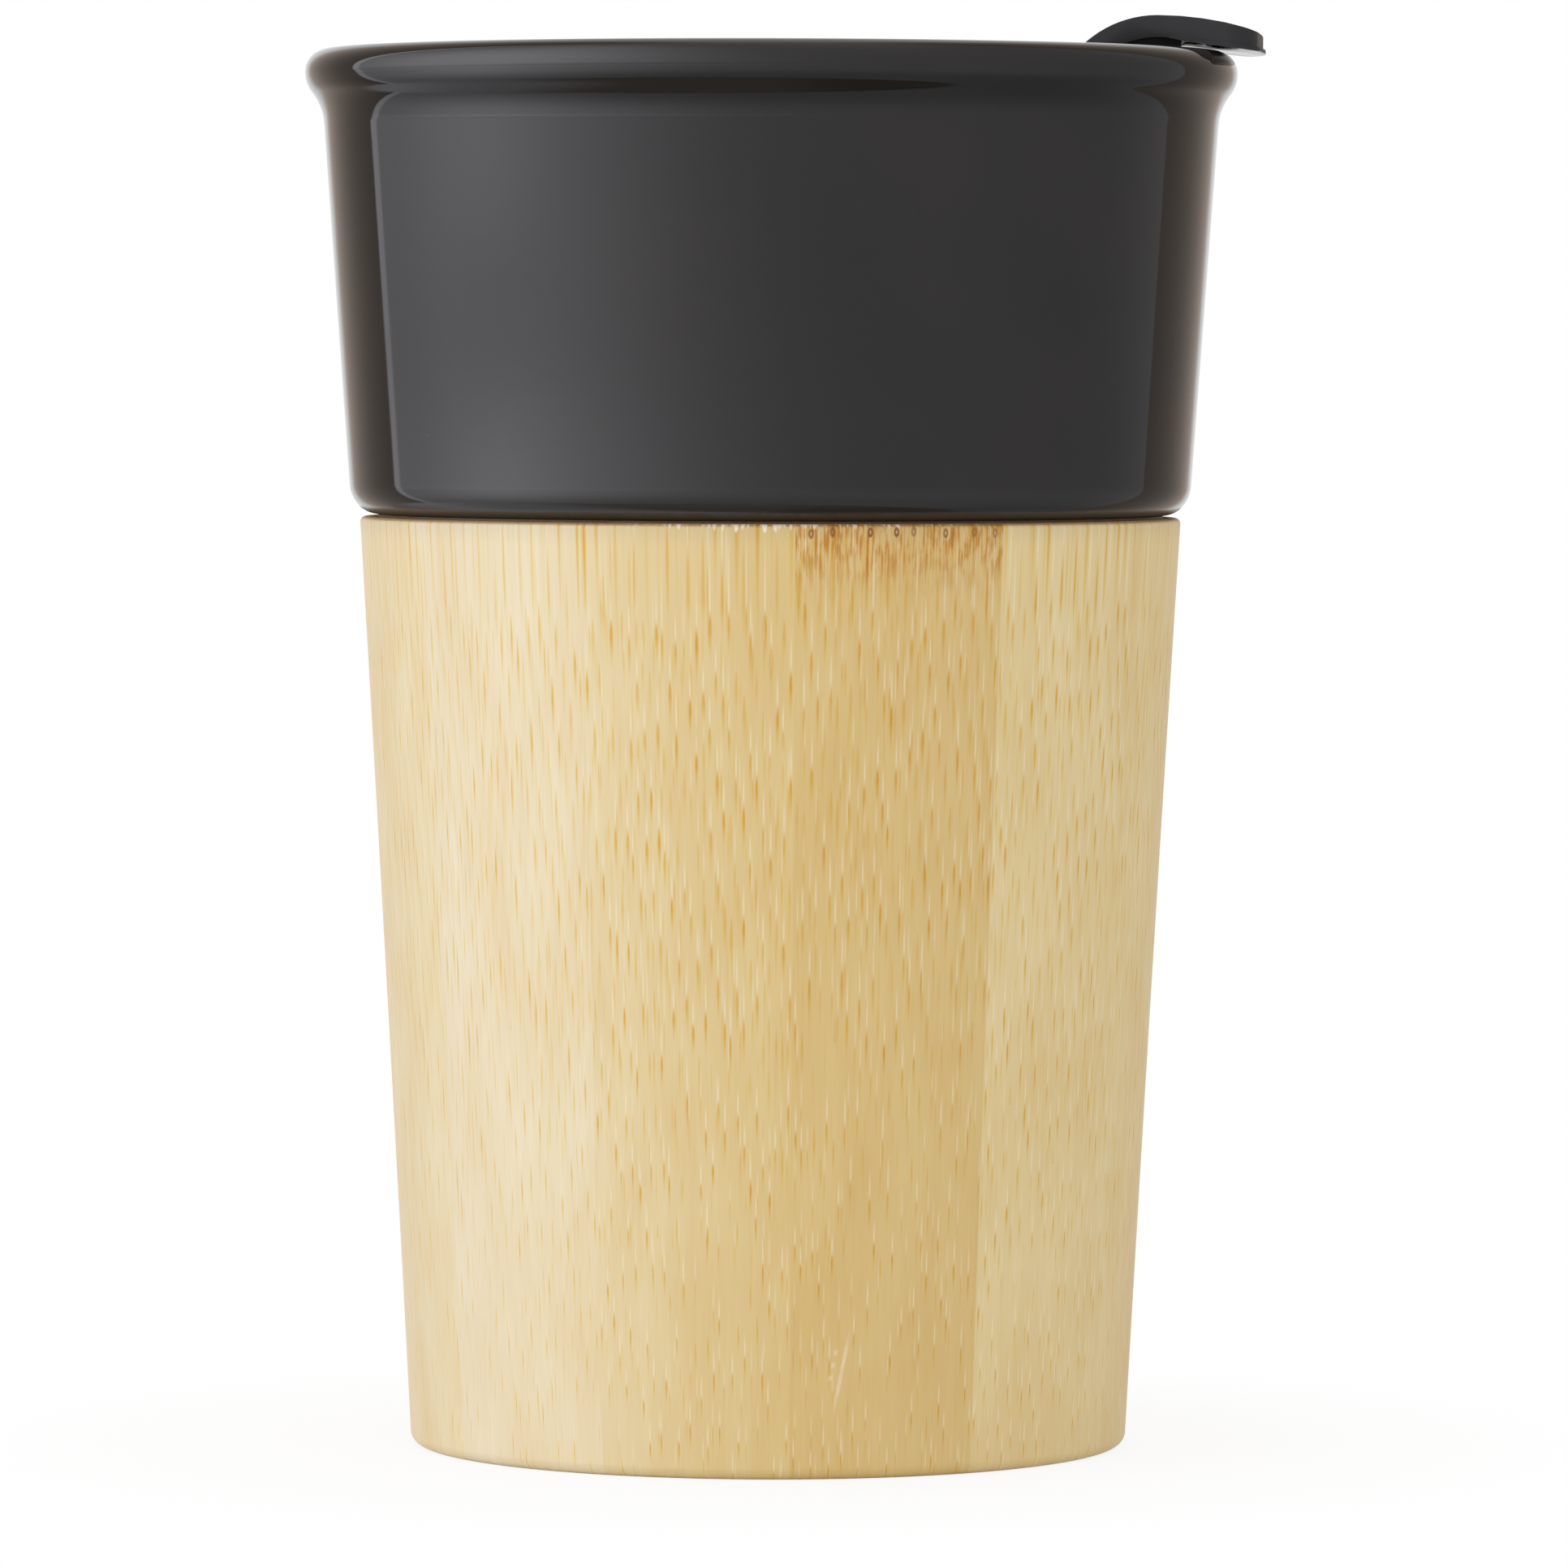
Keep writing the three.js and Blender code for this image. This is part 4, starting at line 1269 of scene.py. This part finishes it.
def cover_side(reach=tip_radius):
    """The side view, from the hinge along the underside to the tip and back along the top."""
    root_z = strap_top + root_fillet
    root_rise = root_z - arch_z
    root_x = arch_x - math.sqrt((arch_radius + root_fillet) ** 2 - root_rise ** 2)
    root_angle = math.degrees(math.atan2(root_rise, root_x - arch_x))
    heel = math.degrees(math.pi - math.asin((strap_top - arch_z) / arch_inner))
    under = 90 - math.degrees(math.asin(web_reach / arch_inner))
    crown_z = cover_top - crown_radius
    crown_end = math.degrees(math.acos((reach - arch_x) / crown_radius))
    pen = Pen(hinge_x, strap_bottom).line(arch_x - arch_inner, strap_bottom)
    pen.line(arch_x + arch_inner * math.cos(math.radians(heel)), strap_top)
    pen.arc(arch_x, arch_z, under - heel)
    draw_underside(pen, reach)
    pen.line(reach, crown_z + crown_radius * math.sin(math.radians(crown_end)))
    pen.arc(arch_x, crown_z, 90 - crown_end).arc(arch_x, arch_z, root_angle - 90)
    pen.arc(root_x, root_z, 90 - root_angle)
    return pen.line(hinge_x, strap_top).line(hinge_x, strap_bottom)


def draw_underside(pen, reach):
    """A curve that leaves the web, passes just over the lip and ends at the tip."""
    start = pen.tip.co.copy()
    bend = Vector((bead_centre, 0, rim + lip_gap))
    end = Vector((reach, 0, rim + lip_gap - tip_fall))
    for step in range(1, UNDERSIDE_PARTS + 1):
        share = step / UNDERSIDE_PARTS
        point = start.lerp(bend, share).lerp(bend.lerp(end, share), share)
        pen.line(point.x, point.z)


def cover_plan(grow=0.0, start=None):
    """The plan: a neck between the hinge ears, a strap and a tip that follows the round of the lip."""
    half = cover_half + grow
    corner = tip_corner + grow
    reach = tip_radius + grow
    corner_y = half - corner
    corner_x = math.sqrt((reach - corner) ** 2 - corner_y ** 2)
    corner_turn = math.degrees(math.atan2(corner_y, corner_x))
    if start is None:
        pen = Pen(neck_start, -neck_half).line(neck_end, -neck_half).line(neck_end, -half, ease=strap_ease)
    else:
        pen = Pen(start, -half)
    pen.line(corner_x, -half).arc(corner_x, -corner_y, 90 - corner_turn)
    pen.arc(0, 0, 2 * corner_turn).arc(corner_x, corner_y, 90 - corner_turn)
    if start is None:
        pen.line(neck_end, half, ease=strap_ease).line(neck_end, neck_half).line(neck_start, neck_half)
        return pen.line(neck_start, -neck_half)
    return pen.line(start, half).line(start, -half)


print("cover", 2 * cover_half, "mm wide, tip", round(tip_radius, 2), "mm from the axis")

# %% Piece: flip cover


def cover_block(grow=0.0, start=None):
    side = sawn(cover_side(tip_radius + grow), 2 * cover_half + saw_spare)
    return combined("INTERSECT", side, upright(cover_plan(grow, start), deck_bottom, cover_top + cut_over))


def cover_flash():
    """The flared lip: what is left of the tongue under a copy of itself that is lifted a little."""
    lifted = sawn(cover_side(tip_radius + 2 * flash_reach), 2 * (cover_half + saw_spare))
    bmesh.ops.translate(lifted, vec=(0, 0, flash_thickness), verts=lifted.verts)
    return combined("DIFFERENCE", cover_block(flash_reach, flash_start), lifted)


def cover_web():
    """A web under the arch, with a blade that holds the plug."""
    left = sip_x - blade_half
    right = sip_x + blade_half
    low = plug_end + plug_wall + blade_gap
    end = arch_x + web_reach
    inside = arch_radius - cover_thickness / 2

    def rise(x):
        return arch_z + math.sqrt(inside ** 2 - (x - arch_x) ** 2)

    pen = Pen(left, low).line(right, low).line(right, rim + lip_gap, ease=web_ease)
    pen.line(end, rim + lip_gap)
    for x in (end, arch_x, right, left):
        pen.line(x, rise(x))
    return sawn(pen.line(left, low), blade_length)


cover = bevelled(cover_block(), edge_round)
knuckle = bevelled(rod(knuckle_radius, knuckle_length, hinge_x, hinge_z), knuckle_round)
cover = combined("UNION", cover, knuckle, cover_web(), cover_flash())
cover = combined("DIFFERENCE", cover, rod(pin_hole, knuckle_length + 2 * cut_over, hinge_x, hinge_z))
for face in cover.faces:
    face.material_index = int(face.normal.z < UNDERSIDE_FACING)
add_piece("flip_cover_tongue", cover, [MOULDING, POLISHED], "cover", "flip_cover")

# %% [markdown]
# The plug is a soft cap on the cover's blade that fills the sip slot, and the pin is a short steel rod with
# rounded ends that the ears hold.

# %% Pieces: sip plug and hinge pin
plug_top = deck_top + 2.5
plug_round = 0.5


def slot_plug(inset, low, high):
    """A block with the slot's plan, smaller all round by an inset."""
    return upright(slot_plan(sip_width - 2 * inset, sip_length - 2 * inset), low, high)


plug = bevelled(slot_plug(plug_gap, plug_end, plug_top), plug_round)
pocket = slot_plug(plug_gap + plug_wall, plug_end + plug_wall, plug_top + cut_over)
plug = combined("DIFFERENCE", plug, pocket)
add_piece("sip_plug_cap", plug, [RUBBER], "cover", "sip_plug")
pin = bevelled(rod(pin_radius, 2 * ear_middle + ear_thickness, hinge_x, hinge_z), small_round)
add_piece("hinge_pin_rod", pin, [STEEL], "lid", "hinge_pin")

# %% [markdown]
# The studio is a white tent. A mirror finish is only as good as what it reflects, so the tent is drawn with
# care: a wide panel in front with a thin bright line along its left edge, a main lamp behind its left part,
# two soft spots of light just above and below the middle of the wall's view, and a fall of light towards the
# table. Beside the panel are darker gaps, and at the back is a white backdrop. The cup's wall leans, so what
# it sees level with its middle lies lower in front than at the sides, and the spots follow that.
# It could be built of panels and lamps, but as the world it is seen by direction alone and casts no shadow.
# The camera itself sees plain white. Soft light for the bamboo comes from an even dome and one large lamp.

# %% Studio: what the glaze reflects
PANEL_LEFT = -125.7
PANEL_RIGHT = 123.2
PANEL_EDGE = 1.2
PANEL_TINT = (1.0, 0.985, 1.04, 1)
EDGE_LINE = (3.0, 4.4, 1.65)
KEY_AZIMUTH = -70.0
KEY_WIDTH = 45.0
KEY_ABOVE = 2.4
KEY_BELOW = 1.25
LAMP_LOW = -54.0
SPOT_AZIMUTH = -80.0
SPOT_WIDTH = 20.0
SPOT_GAIN = 0.3
WALL_DROP = 8.0
WARM_TINT = (1.0, 0.85, 0.74, 1)
TABLE_FAR = (0.36, 0.31, 0.27, 1)
ROOF = (0.75, 0.75, 0.76, 1)


def panel_level(wiring, azimuth, rise, off_middle):
    """How bright the panel is: the lamp behind it, an even rest, and what shades it."""
    def bell(middle, width):
        share = wiring.over(wiring.minus(azimuth, middle), width)
        return wiring.math("EXPONENT", wiring.times(share, share, -1.0))

    glow = bell(KEY_AZIMUTH, KEY_WIDTH)
    apart = wiring.span(wiring.unsigned(off_middle), 0.15, 0.9)
    spots = wiring.times(bell(SPOT_AZIMUTH, SPOT_WIDTH), apart)
    below = wiring.times(wiring.math("MULTIPLY_ADD", spots, SPOT_GAIN, 1.0), KEY_BELOW)
    lamp = wiring.times(wiring.span(rise, -6.0, 2.0, below, KEY_ABOVE),
                        wiring.span(rise, 20.0, 80.0, 1.0, 0.3),
                        wiring.span(rise, LAMP_LOW, -11.0, 0.2, 1.0))
    even = wiring.math("MINIMUM", wiring.span(azimuth, -60.0, 0.0, 0.62, 0.69),
                       wiring.span(azimuth, 40.0, 115.0, 0.69, 0.44))
    level = wiring.plus(wiring.times(glow, lamp), even)
    lower = wiring.times(wiring.span(off_middle, -1.1, 0.0, 0.16, 0.0), wiring.fade(azimuth, -20.0, 40.0),
                         wiring.span(off_middle, -5.0, -2.0))
    level = wiring.math("MULTIPLY_ADD", level, lower, level)
    line_start, line_end, line_gain = EDGE_LINE
    return wiring.times(level, wiring.span(rise, -46.0, -12.0, 0.78, 1.0),
                        wiring.span(azimuth, PANEL_LEFT, PANEL_LEFT + 34.0, 0.78, 1.0),
                        wiring.span(azimuth, PANEL_LEFT + line_start, PANEL_LEFT + line_end, line_gain, 1.0))


def gap_colour(wiring, behind):
    """The dim gaps beside the panel and the white backdrop at the back."""
    toward_back = wiring.span(behind, 122.0, 158.0, 0.0, 1.0, smooth=False)
    glimmer = wiring.span(wiring.math("POWER", toward_back, 2.0), 0.0, 1.0, 0.29, 0.66, smooth=False)
    return wiring.mix(wiring.span(behind, 158.0, 166.0), wiring.tint(WARM_TINT, glimmer), WHITE)


def table_colour(wiring, azimuth, behind):
    """The table, lit by the panel on the left and dark at the back."""
    level = wiring.times(wiring.span(azimuth, -95.0, -55.0, 0.85, 0.43),
                         wiring.span(azimuth, -10.0, 40.0, 1.0, 0.6))
    level = wiring.plus(level, wiring.span(azimuth, 95.0, 135.0, 0.0, 0.35))
    tint = wiring.mix(wiring.span(azimuth, -90.0, -60.0), PANEL_TINT, WARM_TINT)
    return wiring.mix(wiring.span(behind, 125.0, 150.0), wiring.tint(tint, level), TABLE_FAR)


def table_edge(wiring, azimuth):
    """How far below level the table begins: near the cup in front, farther off behind it."""
    front = wiring.plus(wiring.span(azimuth, -145.0, -60.0, -24.0, -48.0, smooth=False),
                        wiring.span(azimuth, -60.0, 100.0, 0.0, -14.0, smooth=False))
    return wiring.plus(front, wiring.span(azimuth, 110.0, 150.0, 0.0, 24.0, smooth=False))


def tent(wiring):
    """What a shiny surface sees in each direction, as a colour."""
    direction = wiring.split(wiring.node("ShaderNodeTexCoord").outputs["Generated"])
    turn = wiring.math("ARCTAN2", direction["X"], wiring.times(direction["Y"], -1.0))
    rise = wiring.math("DEGREES", wiring.math("ARCSINE", direction["Z"]))
    drop = wiring.times(wiring.math("COSINE", wiring.times(turn, 0.5)), WALL_DROP)
    off_middle = wiring.plus(rise, drop)
    lean = wiring.span(off_middle, -1.5, 1.5, -0.7, 0.2, smooth=False)
    narrowing = wiring.span(rise, -30.0, -4.0, 0.99, 1.0)
    azimuth = wiring.math("MULTIPLY_ADD", wiring.math("DEGREES", turn), narrowing, lean)
    behind = wiring.unsigned(azimuth)
    level = panel_level(wiring, azimuth, rise, off_middle)
    inside = wiring.band(azimuth, PANEL_LEFT, PANEL_LEFT + PANEL_EDGE, PANEL_RIGHT - PANEL_EDGE, PANEL_RIGHT)
    panel = wiring.mix(inside, gap_colour(wiring, behind), wiring.tint(PANEL_TINT, level))
    over_edge = wiring.span(wiring.minus(rise, table_edge(wiring, azimuth)), -1.5, 1.5)
    walls = wiring.mix(over_edge, table_colour(wiring, azimuth, behind), panel)
    return wiring.mix(wiring.span(rise, 60.0, 82.0), walls, ROOF)


print("panel from", PANEL_LEFT, "to", PANEL_RIGHT, "degrees")

# %% Studio: the world
DOME_LEVEL = 0.90


def studio_world():
    world = bpy.data.worlds.new("studio")
    world.use_nodes = True
    wiring = Wiring(world.node_tree)
    rays = wiring.node("ShaderNodeLightPath").outputs
    lit = wiring.mix(rays["Is Glossy Ray"], (DOME_LEVEL, DOME_LEVEL, DOME_LEVEL, 1), tent(wiring))
    clear = wiring.larger(rays["Is Camera Ray"], rays["Is Transmission Ray"])
    backdrop = world.node_tree.nodes["Background"]
    wiring.feed(backdrop.inputs["Color"], wiring.mix(clear, lit, WHITE))
    scene.world = world


studio_world()
scene.view_settings.view_transform = "Standard"
print("dome at", DOME_LEVEL)

# %% [markdown]
# The floor is a pale disc. It bounces light on to the foot and holds the soft shadow there, and further out
# it fades to the white of the backdrop, which only the camera sees. Mirrors look through it to the tent.

# %% Studio: floor and main lamp
FLOOR_RADIUS = 2.0
FLOOR_STEPS = 96
FLOOR_PALE = (0.92, 0.92, 0.91, 1)
SHADOW_RING = (0.034, 0.09)
SHADOW_KEPT = 0.15
KEY_PLACE = Vector((-0.85, -0.75, 0.75))
KEY_POWER = 2.4
KEY_SIZE = 0.9
KEY_AIM = Vector((0, 0, 0.07))


def floor_finish():
    finish = bpy.data.materials.new("pale_floor")
    finish.use_nodes = True
    tree = finish.node_tree
    tree.nodes.remove(tree.nodes["Principled BSDF"])
    wiring = Wiring(tree)
    away = wiring.vector("LENGTH", wiring.place())
    lift = wiring.span(away, *SHADOW_RING, 1.0 - SHADOW_KEPT, 1.0)
    seen = wiring.times(lift, wiring.node("ShaderNodeLightPath").outputs["Is Camera Ray"])
    pale = wiring.node("ShaderNodeBsdfDiffuse", {"Color": FLOOR_PALE}).outputs["BSDF"]
    white = wiring.node("ShaderNodeEmission", {"Color": WHITE, "Strength": 1.0}).outputs["Emission"]
    shown = wiring.node("ShaderNodeMixShader", {0: seen, 1: pale, 2: white}).outputs["Shader"]
    wiring.feed(tree.nodes["Material Output"].inputs["Surface"], shown)
    return finish


floor_bm = bmesh.new()
bmesh.ops.create_circle(floor_bm, cap_ends=True, segments=FLOOR_STEPS, radius=FLOOR_RADIUS)
floor = link_object("floor", floor_bm)
floor.data.materials.append(floor_finish())
floor.visible_glossy = False

key_data = bpy.data.lights.new("main_lamp", "AREA")
key_data.energy = KEY_POWER
key_data.size = KEY_SIZE
key = bpy.data.objects.new("main_lamp", key_data)
key.location = KEY_PLACE
key.rotation_mode = "QUATERNION"
key.rotation_quaternion = (KEY_AIM - KEY_PLACE).to_track_quat("-Z", "Y")
key.visible_glossy = False
key.visible_camera = False
scene.collection.objects.link(key)
print("floor", FLOOR_RADIUS, "m, lamp", round(KEY_PLACE.length, 2), "m away")

# %% [markdown]
# The photograph was taken from a little under the rim with a long lens, tilted down a touch, so the foot
# shows its curve and the rim looks almost flat. The cup stands slightly left of the middle, which is a
# small turn of the camera, and the horizon leans by less than a fifth of a degree.

# %% Camera
CAMERA_DISTANCE = 0.955
CAMERA_HEIGHT = 0.1024
CAMERA_LENS = 237.2
CAMERA_PITCH = -2.479
CAMERA_YAW = -0.073
CAMERA_ROLL = -0.155
CAMERA_SENSOR = 36.0
CAMERA_FAR = 20.0

camera_data = bpy.data.cameras.new("camera")
camera_data.lens = CAMERA_LENS
camera_data.sensor_width = CAMERA_SENSOR
camera_data.clip_end = CAMERA_FAR
camera = bpy.data.objects.new("camera", camera_data)
camera.location = (0, -CAMERA_DISTANCE, CAMERA_HEIGHT)
camera.rotation_euler = [math.radians(angle) for angle in (90 + CAMERA_PITCH, CAMERA_ROLL, CAMERA_YAW)]
scene.collection.objects.link(camera)
scene.camera = camera
print("camera", CAMERA_DISTANCE, "m away,", CAMERA_LENS, "mm lens")
